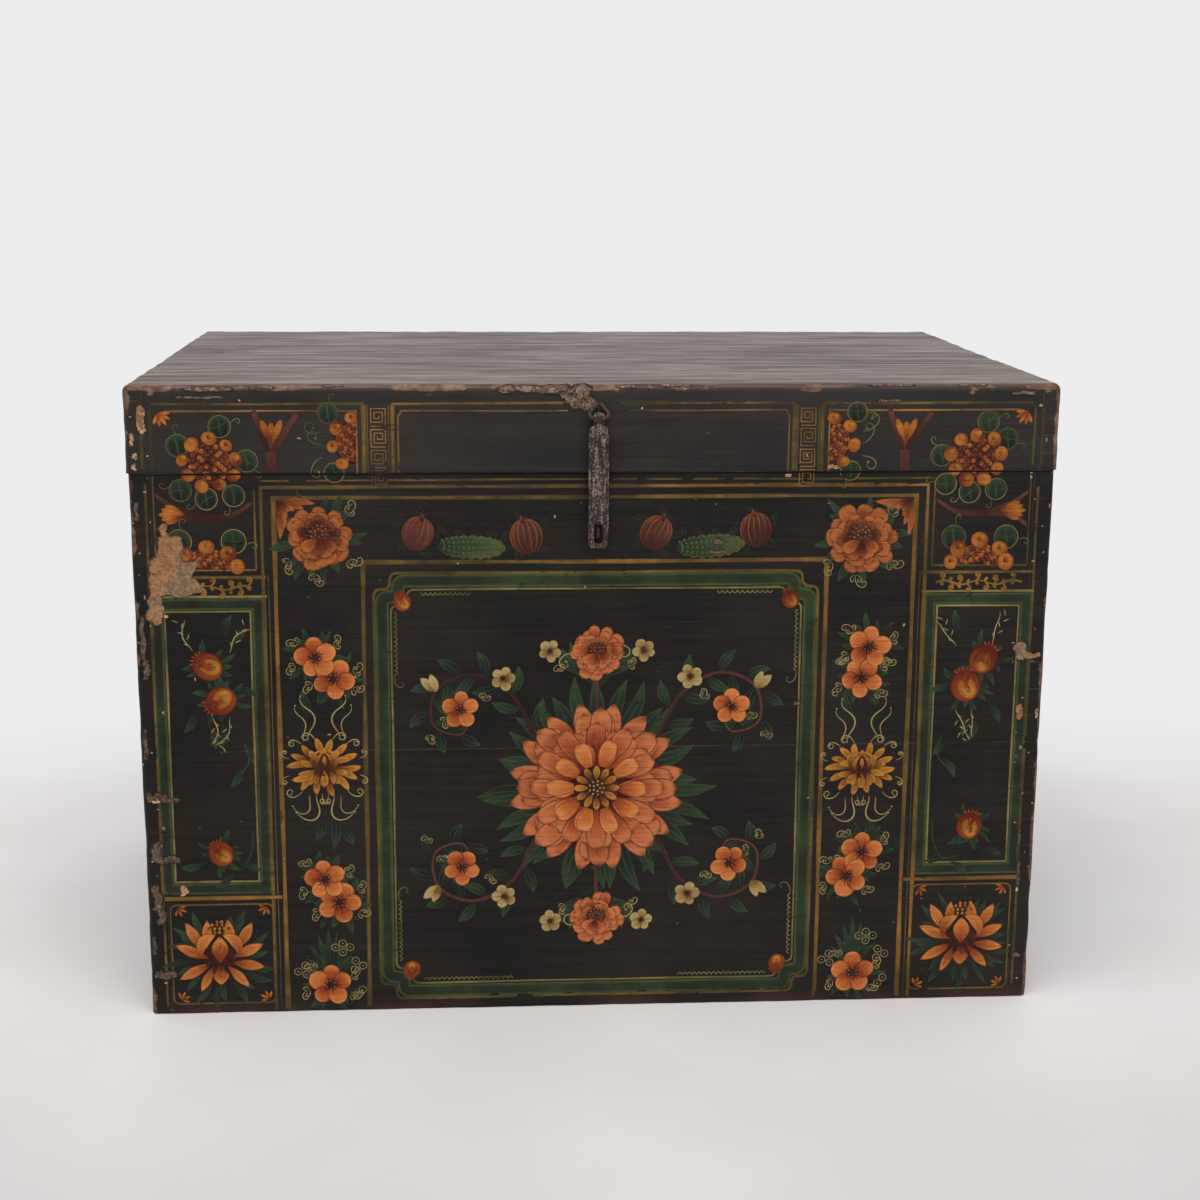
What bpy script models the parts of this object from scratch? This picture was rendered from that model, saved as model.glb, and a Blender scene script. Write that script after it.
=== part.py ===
"""Painted storage trunk: a dovetailed chest with a lift-up lid, split-pin hinges and a hanging hasp.

Metres, +Z up. The trunk stands on z = 0, centred on the origin, with its front towards -Y.
"""

import math

import bmesh
import bpy
import numpy as np
from mathutils import Matrix, Vector

# Chest box, outside
CHEST_WIDTH = 0.850
CHEST_DEPTH = 0.560
CHEST_HEIGHT = 0.524
WALL = 0.018
LOWER_PLANK = 0.262  # height of the seam between the two planks of each wall
CORNER_RADIUS = 0.005
FOOT_RADIUS = 0.003  # wear along the lower outside edges

# Corner joints
TAIL_PITCH = 0.052  # wanted spacing of the dovetails
TAIL_FLARE = 0.004  # how much wider a tail is at its tip than at its root, on each flank
JOINT_GAP = 0.0003  # clearance between pieces that meet
TRIM = 0.002  # waste left on each blank until its outside is rounded off

# Bottom
BOTTOM_PLANKS = 3
BOTTOM_THICKNESS = 0.012
BOTTOM_LIFT = 0.012
GROOVE_DEPTH = 0.007
BOTTOM_BATTEN_HEIGHT = 0.008
BOTTOM_BATTEN_SPACING = 0.480

# Sliding dovetail battens, under the lid planks and under the bottom planks
BATTEN_WIDTH = 0.034
BATTEN_NECK = 0.016
BATTEN_FLARE = 0.002
BATTEN_TONGUE = 0.004

# Lid
LID_OVERHANG = 0.002
LID_WALL = 0.018
LID_RAIL_HEIGHT = 0.066
LID_TOP = 0.0135
LID_PLANKS = 3
LID_CORNER_RADIUS = 0.007
LID_EDGE_RADIUS = 0.005
LID_BATTEN_HEIGHT = 0.012
LID_BATTEN_SPACING = 0.420
LID_TAIL_PITCH = 0.033

# Bamboo dowels in the plank seams, and bamboo pegs through the lid planks
DOWEL_RADIUS = 0.003
DOWEL_LENGTH = 0.040
LONG_DOWEL_SPACING = 0.280
SHORT_DOWEL_SPACING = 0.240
PEG_RADIUS = 0.0035
PEG_LENGTH = 0.040
PEG_SPACING = 0.230

# Split-pin hinges
HINGE_SPACING = 0.520
HINGE_WIRE = 0.0015  # radius of the iron wire
HINGE_EYE = 0.0055  # centreline radius of the eye on the chest
HINGE_LINK = 0.0052  # centreline radius of the lid link round the hinge axis
HINGE_STEM = 0.0012  # straight stem between the board and the eye
HINGE_PIN_DROP = 0.009  # chest pin below the rim
HINGE_PIN_RISE = 0.010  # lid pin above the lid's lower edge
CLINCH = 0.014  # length of each leg bent over inside

# Hasp
HASP_WIDTH = 0.019
HASP_THICKNESS = 0.0032
HASP_LENGTH = 0.1205  # from the pivot to the lower end
HASP_STANDOFF = 0.008  # pivot in front of the lid
HASP_PIN_DROP = 0.0165  # pin below the lid's top
HASP_PIVOT_DROP = 0.012  # pivot below the pin
HASP_WIRE = 0.0018
HASP_LOOP_HALF = 0.0085  # half width of the loop that carries the hasp
HASP_TONGUE = 0.009
HASP_TONGUE_LENGTH = 0.010
KNUCKLE_WALL = 0.0026
KNUCKLE_GAP = 0.0004
SLOT_WIDTH = 0.008
SLOT_HEIGHT = 0.018
SLOT_LAND = 0.0045  # iron left below the slot
HASP_END_RADIUS = 0.004

# Staple for the padlock
STAPLE_WIRE = 0.0015
STAPLE_HALF = 0.005  # half the spacing of its legs
NOSE_GAP = 0.0004  # between the staple's nose and the hanging hasp

# Facets
ROUND_SIDES = 10
BORE_SIDES = 12
ARC_STEPS = 6
CORNER_SEGMENTS = 3
CORNER_SHARE = 0.8  # most of a corner's radius that the edges round it may take

LID_BASE = CHEST_HEIGHT + JOINT_GAP
RAIL_TOP = LID_BASE + LID_RAIL_HEIGHT
LID_PLANK_BASE = RAIL_TOP + JOINT_GAP
TRUNK_HEIGHT = LID_PLANK_BASE + LID_TOP
LID_WIDTH = CHEST_WIDTH + 2 * LID_OVERHANG
LID_DEPTH = CHEST_DEPTH + 2 * LID_OVERHANG
LEG_OFFSET = JOINT_GAP / 2  # a split pin's two legs lie this far each side of its centre, plus the wire


def remove_everything():
    for obj in list(bpy.data.objects):
        bpy.data.objects.remove(obj)


def collection(name):
    found = bpy.data.collections.new(name)
    bpy.context.scene.collection.children.link(found)
    return found


def finish(name, colour, roughness, metallic):
    material = bpy.data.materials.new(name)
    material.use_nodes = True
    shader = material.node_tree.nodes["Principled BSDF"]
    shader.inputs["Base Color"].default_value = (*colour, 1.0)
    shader.inputs["Roughness"].default_value = roughness
    shader.inputs["Metallic"].default_value = metallic
    return material


class Trunk:
    """The collections, finishes and moving frames that the pieces share."""

    def __init__(self):
        self.pieces = collection("painted_trunk")
        self.cutters = collection("cutters")
        self.cutters.hide_render = True
        self.chest = self.frame("chest", Vector())
        self.lid = self.frame("lid_hinge", Vector((0.0, *hinge_axis())), self.chest)
        self.hasp = self.frame("hasp_swing", Vector((0.0, *hasp_axis())), self.lid)
        self.lacquer = finish("black_lacquer", (0.022, 0.020, 0.019), 0.42, 0.0)
        self.wood = finish("bare_wood", (0.25, 0.16, 0.09), 0.75, 0.0)
        self.bamboo = finish("bamboo", (0.45, 0.32, 0.16), 0.6, 0.0)
        self.iron = finish("rusted_iron", (0.085, 0.062, 0.050), 0.7, 0.6)

    def frame(self, name, origin, parent=None):
        """An empty on a joint's axis, for the pieces that move together."""
        empty = bpy.data.objects.new(name, None)
        empty["origin"] = origin
        self.pieces.objects.link(empty)
        if parent:
            empty.parent = parent
            empty.location = origin - Vector(parent["origin"])
        return empty

    def fitting(self, name, data, material, body, place):
        """A piece whose mesh or curve is drawn about its own origin, put at a place."""
        obj = bpy.data.objects.new(name, data)
        if not data.materials:
            data.materials.append(material)
        self.pieces.objects.link(obj)
        obj.parent = body
        obj.location = Vector(place) - Vector(body["origin"])
        return obj

    def board(self, name, mesh, material, body):
        """A piece that is drawn in place, and gets its origin at its middle."""
        corners = np.array([v.co for v in mesh.vertices])
        middle = Vector((corners.min(axis=0) + corners.max(axis=0)) / 2)
        mesh.transform(Matrix.Translation(-middle))
        return self.fitting(name, mesh, material, body, middle)

    def cutter(self, name, mesh):
        obj = bpy.data.objects.new(name, mesh)
        obj.hide_render = True
        obj.display_type = "WIRE"
        self.cutters.objects.link(obj)
        return obj


def combine(obj, other, operation):
    step = obj.modifiers.new(other.name, "BOOLEAN")
    step.operation = operation
    step.object = other
    return obj


def cut(obj, *cutters):
    for cutter in cutters:
        combine(obj, cutter, "DIFFERENCE")
    return obj


def mesh_from(bm, name):
    mesh = bpy.data.meshes.new(name)
    bm.to_mesh(mesh)
    bm.free()
    return mesh


def block(low, high):
    """A box between two corners."""
    low, high = Vector(low), Vector(high)
    bm = bmesh.new()
    bmesh.ops.create_cube(bm, size=1.0)
    bmesh.ops.scale(bm, vec=high - low, verts=bm.verts)
    bmesh.ops.translate(bm, vec=(low + high) / 2, verts=bm.verts)
    return bm


def box_mesh(name, low, high):
    return mesh_from(block(low, high), name)


def rounded_box(name, low, high, upright_radius, low_radius=0.0, high_radius=0.0):
    """A box with its upright edges rounded, and its lower or upper edges if they have a radius.

    Those edges run round the upright corners, so their radius is kept inside the corners' own.
    """
    bm = block(low, high)
    middle = (low[2] + high[2]) / 2
    upright = [e for e in bm.edges if abs(e.verts[0].co.z - e.verts[1].co.z) > JOINT_GAP]
    round_off(bm, upright, upright_radius)
    widest = CORNER_SHARE * upright_radius
    if low_radius:
        lower = [e for e in bm.edges if all(v.co.z < middle for v in e.verts)]
        round_off(bm, lower, min(low_radius, widest))
    if high_radius:
        upper = [e for e in bm.edges if all(v.co.z > middle for v in e.verts)]
        round_off(bm, upper, min(high_radius, widest))
    return mesh_from(bm, name)


def round_off(bm, edges, radius):
    bmesh.ops.bevel(bm, geom=edges, offset=radius, segments=CORNER_SEGMENTS, profile=0.5, affect="EDGES")


def rod(radius, start, end, sides):
    """A solid cylinder between two points."""
    start, end = Vector(start), Vector(end)
    along = end - start
    bm = bmesh.new()
    turn = along.to_track_quat("Z", "Y").to_matrix().to_4x4()
    place = Matrix.Translation((start + end) / 2) @ turn
    bmesh.ops.create_cone(
        bm, cap_ends=True, segments=sides, radius1=radius, radius2=radius, depth=along.length, matrix=place
    )
    return bm


def rod_mesh(name, radius, start, end, sides=ROUND_SIDES):
    mesh = mesh_from(rod(radius, start, end, sides), name)
    mesh.shade_smooth()
    mesh.set_sharp_from_angle(angle=math.radians(40))
    return mesh


def bore(trunk, name, radius, start, end):
    """A cutter for a round hole, whose flats stay clear of a rod of that radius."""
    widened = (radius + JOINT_GAP) / math.cos(math.pi / BORE_SIDES)
    return trunk.cutter(name, rod_mesh(name, widened, start, end, BORE_SIDES))


def outline_mesh(name, loops, thickness, matrix):
    """A flat outline, with any inner loops left open, given a thickness about its plane and put in place."""
    curve = bpy.data.curves.new(name, "CURVE")
    curve.dimensions = "2D"
    curve.fill_mode = "BOTH"
    curve.extrude = thickness / 2
    for loop in loops:
        spline = curve.splines.new("POLY")
        spline.points.add(len(loop) - 1)
        for point, (u, v) in zip(spline.points, loop):
            point.co = (u, v, 0.0, 1.0)
        spline.use_cyclic_u = True
    drawn = bpy.data.objects.new(name + "_outline", curve)
    bpy.context.scene.collection.objects.link(drawn)
    graph = bpy.context.evaluated_depsgraph_get()
    mesh = bpy.data.meshes.new_from_object(drawn.evaluated_get(graph))
    bpy.data.objects.remove(drawn)
    bpy.data.curves.remove(curve)
    bm = bmesh.new()
    bm.from_mesh(mesh)
    bmesh.ops.remove_doubles(bm, verts=bm.verts, dist=JOINT_GAP / 10)
    bmesh.ops.recalc_face_normals(bm, faces=bm.faces)
    bm.transform(matrix)
    bm.to_mesh(mesh)
    bm.free()
    mesh.name = name
    return mesh


# Outline planes: each matrix carries an outline's u and v to two world axes, and its thickness to the third
def facing_x(x):
    return Matrix(((0, 0, 1, x), (1, 0, 0, 0), (0, 1, 0, 0), (0, 0, 0, 1)))


def facing_y(y):
    return Matrix(((1, 0, 0, 0), (0, 0, -1, y), (0, 1, 0, 0), (0, 0, 0, 1)))


def tail_rows(low, high, pitch):
    """Centre heights of the dovetails between two heights, and the spacing that fits."""
    count = max(1, round((high - low) / pitch))
    spacing = (high - low) / count
    return [low + (i + 0.5) * spacing for i in range(count)], spacing


def tail_halves(spacing, gap=0.0):
    """Half heights of a tail at its root and its tip, with a clearance on its flanks."""
    flare = min(TAIL_FLARE, spacing / 4)
    return spacing / 4 - flare / 2 + gap, spacing / 4 + flare / 2 + gap


def tailed_board(name, depth, wall, tails, base, crest, x, thickness):
    """An end board between two heights, with dovetails at its front and rear that reach the outside faces.

    tails holds the lowest and highest place for the dovetails and their wanted spacing.
    """
    rows, spacing = tail_rows(*tails)
    root, tip = tail_halves(spacing)
    shoulder = depth / 2 - wall - JOINT_GAP
    slope = (tip - root) / wall
    reach = depth / 2 + TRIM
    wide = root + slope * (reach - (depth / 2 - wall))
    narrow = root - slope * JOINT_GAP
    rear = []
    for z in rows:
        rear += [(shoulder, z - narrow), (reach, z - wide), (reach, z + wide), (shoulder, z + narrow)]
    front = [(-y, z) for y, z in reversed(rear)]
    loop = [(-shoulder, base), (shoulder, base), *rear, (shoulder, crest), (-shoulder, crest), *front]
    return outline_mesh(name, [loop], thickness, facing_x(x))


def tail_sockets(trunk, name, width, depth, wall, tails, side):
    """Cutters that open a front (side -1) or rear (side 1) board for the tails of the end boards."""
    rows, spacing = tail_rows(*tails)
    root, tip = tail_halves(spacing, JOINT_GAP)
    slope = (tip - root) / wall
    inner, outer = depth / 2 - wall - TRIM, depth / 2 + 2 * TRIM
    start, end = width / 2 - wall - JOINT_GAP, width / 2 + 2 * TRIM
    cutters = []
    for number, z in enumerate(rows):
        near = root + slope * (inner - (depth / 2 - wall))
        far = root + slope * (outer - (depth / 2 - wall))
        corners = [(inner, -near), (outer, -far), (outer, far), (inner, near)]
        loop = [(side * y, z + up) for y, up in corners]
        for end_side in (-1, 1):
            label = f"{name}_socket_{number}_{'left' if end_side < 0 else 'right'}"
            middle = end_side * (start + end) / 2
            cutters.append(trunk.cutter(label, outline_mesh(label, [loop], end - start, facing_x(middle))))
    return cutters


def chest_walls(trunk):
    """Two planks to each wall, dovetailed at the corners and grooved for the bottom."""
    shell = trunk.cutter(
        "chest_outside",
        rounded_box(
            "chest_outside",
            (-CHEST_WIDTH / 2, -CHEST_DEPTH / 2, 0.0),
            (CHEST_WIDTH / 2, CHEST_DEPTH / 2, CHEST_HEIGHT + 2 * TRIM),
            CORNER_RADIUS,
            low_radius=FOOT_RADIUS,
        ),
    )
    groove_x = CHEST_WIDTH / 2 - WALL + GROOVE_DEPTH + JOINT_GAP
    groove_y = CHEST_DEPTH / 2 - WALL + GROOVE_DEPTH + JOINT_GAP
    groove = trunk.cutter(
        "bottom_groove",
        box_mesh(
            "bottom_groove",
            (-groove_x, -groove_y, BOTTOM_LIFT - JOINT_GAP),
            (groove_x, groove_y, BOTTOM_LIFT + BOTTOM_THICKNESS + JOINT_GAP),
        ),
    )
    walls = {}
    for level, low, high in (("lower", 0.0, LOWER_PLANK), ("upper", LOWER_PLANK, CHEST_HEIGHT)):
        base = -TRIM if level == "lower" else low + JOINT_GAP / 2
        crest = high - JOINT_GAP / 2 if level == "lower" else high
        tails = (low, high, TAIL_PITCH)
        for wall, side in (("front", -1), ("back", 1)):
            name = f"{wall}_plank_{level}"
            inside, outside = side * (CHEST_DEPTH / 2 - WALL), side * (CHEST_DEPTH / 2 + TRIM)
            reach = CHEST_WIDTH / 2 + TRIM
            front, rear = sorted((inside, outside))
            mesh = box_mesh(name, (-reach, front, base), (reach, rear, crest))
            walls[name] = trunk.board(name, mesh, trunk.lacquer, trunk.chest)
            cut(walls[name], *tail_sockets(trunk, name, CHEST_WIDTH, CHEST_DEPTH, WALL, tails, side))
        for wall, side in (("left", -1), ("right", 1)):
            name = f"{wall}_plank_{level}"
            middle = side * (CHEST_WIDTH / 2 - WALL / 2 + TRIM / 2)
            mesh = tailed_board(name, CHEST_DEPTH, WALL, tails, base, crest, middle, WALL + TRIM)
            walls[name] = trunk.board(name, mesh, trunk.lacquer, trunk.chest)
    for name, plank in walls.items():
        combine(plank, shell, "INTERSECT")
        if name.endswith("lower"):
            cut(plank, groove)
    return walls


def seam_dowels(trunk, walls):
    """Bamboo dowels that line up the two planks of each wall."""
    inset_x, inset_y = CHEST_WIDTH / 2 - WALL / 2, CHEST_DEPTH / 2 - WALL / 2
    rows = {
        "front": [(x, -inset_y) for x in (-LONG_DOWEL_SPACING, 0.0, LONG_DOWEL_SPACING)],
        "back": [(x, inset_y) for x in (-LONG_DOWEL_SPACING, 0.0, LONG_DOWEL_SPACING)],
        "left": [(-inset_x, y) for y in (-SHORT_DOWEL_SPACING / 2, SHORT_DOWEL_SPACING / 2)],
        "right": [(inset_x, y) for y in (-SHORT_DOWEL_SPACING / 2, SHORT_DOWEL_SPACING / 2)],
    }
    half = DOWEL_LENGTH / 2
    dowel = rod_mesh("dowel", DOWEL_RADIUS, (0.0, 0.0, -half), (0.0, 0.0, half))
    for wall, places in rows.items():
        for number, (x, y) in enumerate(places, start=1):
            name = f"{wall}_dowel_{number}"
            trunk.fitting(name, dowel, trunk.bamboo, trunk.chest, (x, y, LOWER_PLANK))
            low, high = LOWER_PLANK - half - JOINT_GAP, LOWER_PLANK + half + JOINT_GAP
            hole = bore(trunk, name + "_hole", DOWEL_RADIUS, (x, y, low), (x, y, high))
            cut(walls[f"{wall}_plank_lower"], hole)
            cut(walls[f"{wall}_plank_upper"], hole)


def batten_loops(x, underside, height):
    """Outlines of a batten under planks with their underside at a height, and of the groove for its tongue."""
    neck, head = BATTEN_NECK / 2, BATTEN_NECK / 2 + BATTEN_FLARE
    half, top, low = BATTEN_WIDTH / 2, underside - JOINT_GAP, underside - JOINT_GAP - height
    crest = underside + BATTEN_TONGUE
    batten = [
        (x - half, low),
        (x + half, low),
        (x + half, top),
        (x + neck, top),
        (x + head, crest),
        (x - head, crest),
        (x - neck, top),
        (x - half, top),
    ]
    slope = BATTEN_FLARE / (crest - top)
    mouth = neck + JOINT_GAP - slope * TRIM
    throat = head + JOINT_GAP + slope * JOINT_GAP
    groove = [
        (x - mouth, top - TRIM),
        (x + mouth, top - TRIM),
        (x + throat, crest + JOINT_GAP),
        (x - throat, crest + JOINT_GAP),
    ]
    return batten, groove


def battened_planks(trunk, body, names, bounds, underside, crest, battens, height, spacing, reach, material):
    """Planks side by side from front to rear, held flat by sliding dovetail battens across their undersides.

    names and battens hold the pieces' names, bounds is the lowest and highest x and y of the planks,
    and reach is how far the battens run each way from the middle.
    """
    low_x, high_x, low_y, high_y = bounds
    step = (high_y - low_y) / len(names)
    grooves = []
    for name, x in zip(battens, (-spacing / 2, spacing / 2)):
        batten, groove = batten_loops(x, underside, height)
        trunk.board(name, outline_mesh(name, [batten], 2 * reach, facing_y(0.0)), trunk.wood, body)
        label = name + "_groove"
        length = 2 * (reach + JOINT_GAP)
        grooves.append(trunk.cutter(label, outline_mesh(label, [groove], length, facing_y(0.0))))
    planks = []
    for number, name in enumerate(names):
        front = low_y + number * step + (JOINT_GAP / 2 if number else 0.0)
        rear = low_y + (number + 1) * step - (JOINT_GAP / 2 if number < len(names) - 1 else 0.0)
        mesh = box_mesh(name, (low_x, front, underside), (high_x, rear, crest))
        planks.append(cut(trunk.board(name, mesh, material, body), *grooves))
    return planks


def plank_names(stem, count):
    """Names from front to rear."""
    middle = ["middle"] if count == 3 else [f"middle_{i}" for i in range(1, count - 1)]
    return [f"{stem}_{place}" for place in ["front", *middle, "rear"]]


def chest_bottom(trunk):
    """Planks let into the groove of the walls."""
    reach_x = CHEST_WIDTH / 2 - WALL + GROOVE_DEPTH
    reach_y = CHEST_DEPTH / 2 - WALL + GROOVE_DEPTH
    battened_planks(
        trunk,
        trunk.chest,
        plank_names("bottom_plank", BOTTOM_PLANKS),
        (-reach_x, reach_x, -reach_y, reach_y),
        BOTTOM_LIFT,
        BOTTOM_LIFT + BOTTOM_THICKNESS,
        ("bottom_batten_left", "bottom_batten_right"),
        BOTTOM_BATTEN_HEIGHT,
        BOTTOM_BATTEN_SPACING,
        CHEST_DEPTH / 2 - WALL - JOINT_GAP,
        trunk.wood,
    )


def lid_frame(trunk):
    """Four dovetailed rails, covered by planks that are pegged down."""
    shell = trunk.cutter(
        "lid_outside",
        rounded_box(
            "lid_outside",
            (-LID_WIDTH / 2, -LID_DEPTH / 2, LID_BASE - 2 * TRIM),
            (LID_WIDTH / 2, LID_DEPTH / 2, TRUNK_HEIGHT),
            LID_CORNER_RADIUS,
            high_radius=LID_EDGE_RADIUS,
        ),
    )
    rails = {}
    tails = (LID_BASE, RAIL_TOP, LID_TAIL_PITCH)
    for wall, side in (("front", -1), ("back", 1)):
        name = f"lid_{wall}_rail"
        inside, outside = side * (LID_DEPTH / 2 - LID_WALL), side * (LID_DEPTH / 2 + TRIM)
        reach = LID_WIDTH / 2 + TRIM
        front, rear = sorted((inside, outside))
        mesh = box_mesh(name, (-reach, front, LID_BASE), (reach, rear, RAIL_TOP))
        rails[wall] = trunk.board(name, mesh, trunk.lacquer, trunk.lid)
        cut(rails[wall], *tail_sockets(trunk, name, LID_WIDTH, LID_DEPTH, LID_WALL, tails, side))
    for wall, side in (("left", -1), ("right", 1)):
        name = f"lid_{wall}_rail"
        middle = side * (LID_WIDTH / 2 - LID_WALL / 2 + TRIM / 2)
        mesh = tailed_board(name, LID_DEPTH, LID_WALL, tails, LID_BASE, RAIL_TOP, middle, LID_WALL + TRIM)
        rails[wall] = trunk.board(name, mesh, trunk.lacquer, trunk.lid)
    reach_x, reach_y = LID_WIDTH / 2 + TRIM, LID_DEPTH / 2 + TRIM
    planks = battened_planks(
        trunk,
        trunk.lid,
        plank_names("lid_plank", LID_PLANKS),
        (-reach_x, reach_x, -reach_y, reach_y),
        LID_PLANK_BASE,
        TRUNK_HEIGHT + TRIM,
        ("lid_batten_left", "lid_batten_right"),
        LID_BATTEN_HEIGHT,
        LID_BATTEN_SPACING,
        LID_DEPTH / 2 - LID_WALL - JOINT_GAP,
        trunk.lacquer,
    )
    for board in (*rails.values(), *planks):
        combine(board, shell, "INTERSECT")
    lid_pegs(trunk, rails, planks)
    return rails


def lid_pegs(trunk, rails, planks):
    """Bamboo pegs that hold the lid planks down on the rails, cut flush with the top."""
    inset_x, inset_y = LID_WIDTH / 2 - LID_WALL / 2, LID_DEPTH / 2 - LID_WALL / 2
    rows = [(f"lid_peg_front_{i}", x, -inset_y, "front", planks[0]) for i, x in peg_row()]
    rows += [(f"lid_peg_rear_{i}", x, inset_y, "back", planks[-1]) for i, x in peg_row()]
    middle = planks[len(planks) // 2]
    middle_y = 0.0 if len(planks) % 2 else LID_DEPTH / len(planks) / 2
    rows.append(("lid_peg_left", -inset_x, middle_y, "left", middle))
    rows.append(("lid_peg_right", inset_x, middle_y, "right", middle))
    peg = rod_mesh("peg", PEG_RADIUS, (0.0, 0.0, -PEG_LENGTH), (0.0, 0.0, 0.0))
    top = TRUNK_HEIGHT - JOINT_GAP
    low = top - PEG_LENGTH - JOINT_GAP
    for name, x, y, rail, plank in rows:
        trunk.fitting(name, peg, trunk.bamboo, trunk.lid, (x, y, top))
        hole = bore(trunk, name + "_hole", PEG_RADIUS, (x, y, low), (x, y, TRUNK_HEIGHT + 2 * TRIM))
        cut(rails[rail], hole)
        cut(plank, hole)


def peg_row():
    """Four to a row, so that none stands in the way of the hasp's pin."""
    return [(i + 1, (i - 1.5) * PEG_SPACING) for i in range(4)]


def arc(centre, radius, start, end, steps=ARC_STEPS):
    """Points along an arc in a plane, from one angle to another, in degrees."""
    points = []
    for i in range(steps + 1):
        angle = math.radians(start + (end - start) * i / steps)
        points.append((centre[0] + radius * math.cos(angle), centre[1] + radius * math.sin(angle)))
    return points


def wire(trunk, name, points, radius, body, place):
    """A bent iron wire with closed ends, whose points are measured from a place."""
    curve = bpy.data.curves.new(name, "CURVE")
    curve.dimensions = "3D"
    curve.bevel_depth = radius
    curve.bevel_resolution = 2
    curve.use_fill_caps = True
    spline = curve.splines.new("POLY")
    spline.points.add(len(points) - 1)
    for point, spot in zip(spline.points, points):
        point.co = (*spot, 1.0)
    return trunk.fitting(name, curve, trunk.iron, body, place)


def leg_bend(wire_radius):
    """Centreline radius of the bend where a leg turns over inside."""
    return wire_radius + JOINT_GAP


def clinched_leg(wall, wire_radius):
    """Points from a bent leg's tip to the outside face, as (depth from that face, distance sideways)."""
    bend = leg_bend(wire_radius)
    deep = wall + JOINT_GAP + wire_radius
    turned = arc((deep - bend, bend), bend, 0, -90)
    return [(deep, CLINCH), *turned, (0.0, 0.0)]


def chest_eye(trunk, name, x, back_plank):
    """Split pin in the back wall: a flat eye, whose outer side is the hinge axis, and legs clinched inside."""
    face = CHEST_DEPTH / 2
    axis_y, z = hinge_axis()
    leg = HINGE_WIRE + LEG_OFFSET
    half = [(leg + along, -deep) for deep, along in clinched_leg(WALL, HINGE_WIRE)]
    opening = math.degrees(math.asin(min(0.9, 2 * leg / HINGE_EYE)))
    eye = arc((0.0, axis_y - HINGE_EYE - face), HINGE_EYE, -90 + opening, 270 - opening, 4 * ARC_STEPS)
    path = [(u, v, 0.0) for u, v in [*half, *eye, *[(-u, v) for u, v in reversed(half)]]]
    wire(trunk, name, path, HINGE_WIRE, trunk.chest, (x, face, z))
    hole = bore(trunk, name + "_hole", leg + HINGE_WIRE, (x, face - WALL - TRIM, z), (x, face + TRIM, z))
    cut(back_plank, hole)


def hinge_axis():
    """(y, z) of the line that both hinges turn about."""
    eye_start = CHEST_DEPTH / 2 + LID_OVERHANG + HINGE_STEM + HINGE_WIRE
    return eye_start + 2 * HINGE_EYE, CHEST_HEIGHT - HINGE_PIN_DROP


def lid_link(trunk, name, x, back_rail):
    """Split pin in the lid's back rail: a long link through the chest's eye that turns about its outer side."""
    face = LID_DEPTH / 2
    axis_y, axis_z = hinge_axis()
    z = LID_BASE + HINGE_PIN_RISE
    leg = HINGE_WIRE + LEG_OFFSET
    legs = clinched_leg(LID_WALL, HINGE_WIRE)
    out, down = axis_y - face, axis_z - z
    shoulder = 2 * HINGE_WIRE
    upper = arc((out + HINGE_LINK - shoulder, leg - shoulder), shoulder, 90, 0)
    around = arc((out, down), HINGE_LINK, 0, -180, 2 * ARC_STEPS)
    lower = arc((out - HINGE_LINK - shoulder, -leg - shoulder), shoulder, 0, 90)
    path = [(along, -deep, leg) for deep, along in legs]
    path += [(0.0, y, w) for y, w in [*upper, *around, *lower]]
    path += [(-along, -deep, -leg) for deep, along in reversed(legs)]
    wire(trunk, name, path, HINGE_WIRE, trunk.lid, (x, face, z))
    hole = bore(trunk, name + "_hole", leg + HINGE_WIRE, (x, face - LID_WALL - TRIM, z), (x, face + TRIM, z))
    cut(back_rail, hole)


def hinges(trunk, walls, rails):
    for side, x in (("left", -HINGE_SPACING / 2), ("right", HINGE_SPACING / 2)):
        chest_eye(trunk, f"hinge_{side}_chest_eye", x, walls["back_plank_upper"])
        lid_link(trunk, f"hinge_{side}_lid_link", x, rails["back"])


def hasp_axis():
    """(y, z) of the line that the hasp swings about."""
    return -LID_DEPTH / 2 - HASP_STANDOFF, TRUNK_HEIGHT - HASP_PIN_DROP - HASP_PIVOT_DROP


def hasp_loop(trunk, front_rail):
    """Split pin in the lid's front rail, drawn out into a three-cornered loop that carries the hasp."""
    face = -LID_DEPTH / 2
    axis_y, axis_z = hasp_axis()
    pin_z = TRUNK_HEIGHT - HASP_PIN_DROP
    leg = HASP_WIRE + LEG_OFFSET
    half = [(leg + along, deep, 0.0) for deep, along in clinched_leg(LID_WALL, HASP_WIRE)]
    stem = Vector((-HASP_WIRE / 2, 0.0))
    pivot = Vector((axis_y - face, axis_z - pin_z))
    slope = (pivot - stem).normalized()
    bend = 2 * HASP_WIRE
    loop = []
    for u, v in arc((HASP_LOOP_HALF - bend, bend), bend, 30, -90):
        y, z = pivot - slope * v
        loop.append((u, y, z))
    half = [*half, (leg, *stem), *loop]
    path = [*half, *[(-u, v, w) for u, v, w in reversed(half)]]
    wire(trunk, "hasp_loop", path, HASP_WIRE, trunk.lid, (0.0, face, pin_z))
    inside, outside = (0.0, face + LID_WALL + TRIM, pin_z), (0.0, face - TRIM, pin_z)
    cut(front_rail, bore(trunk, "hasp_loop_hole", leg + HASP_WIRE, inside, outside))


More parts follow.
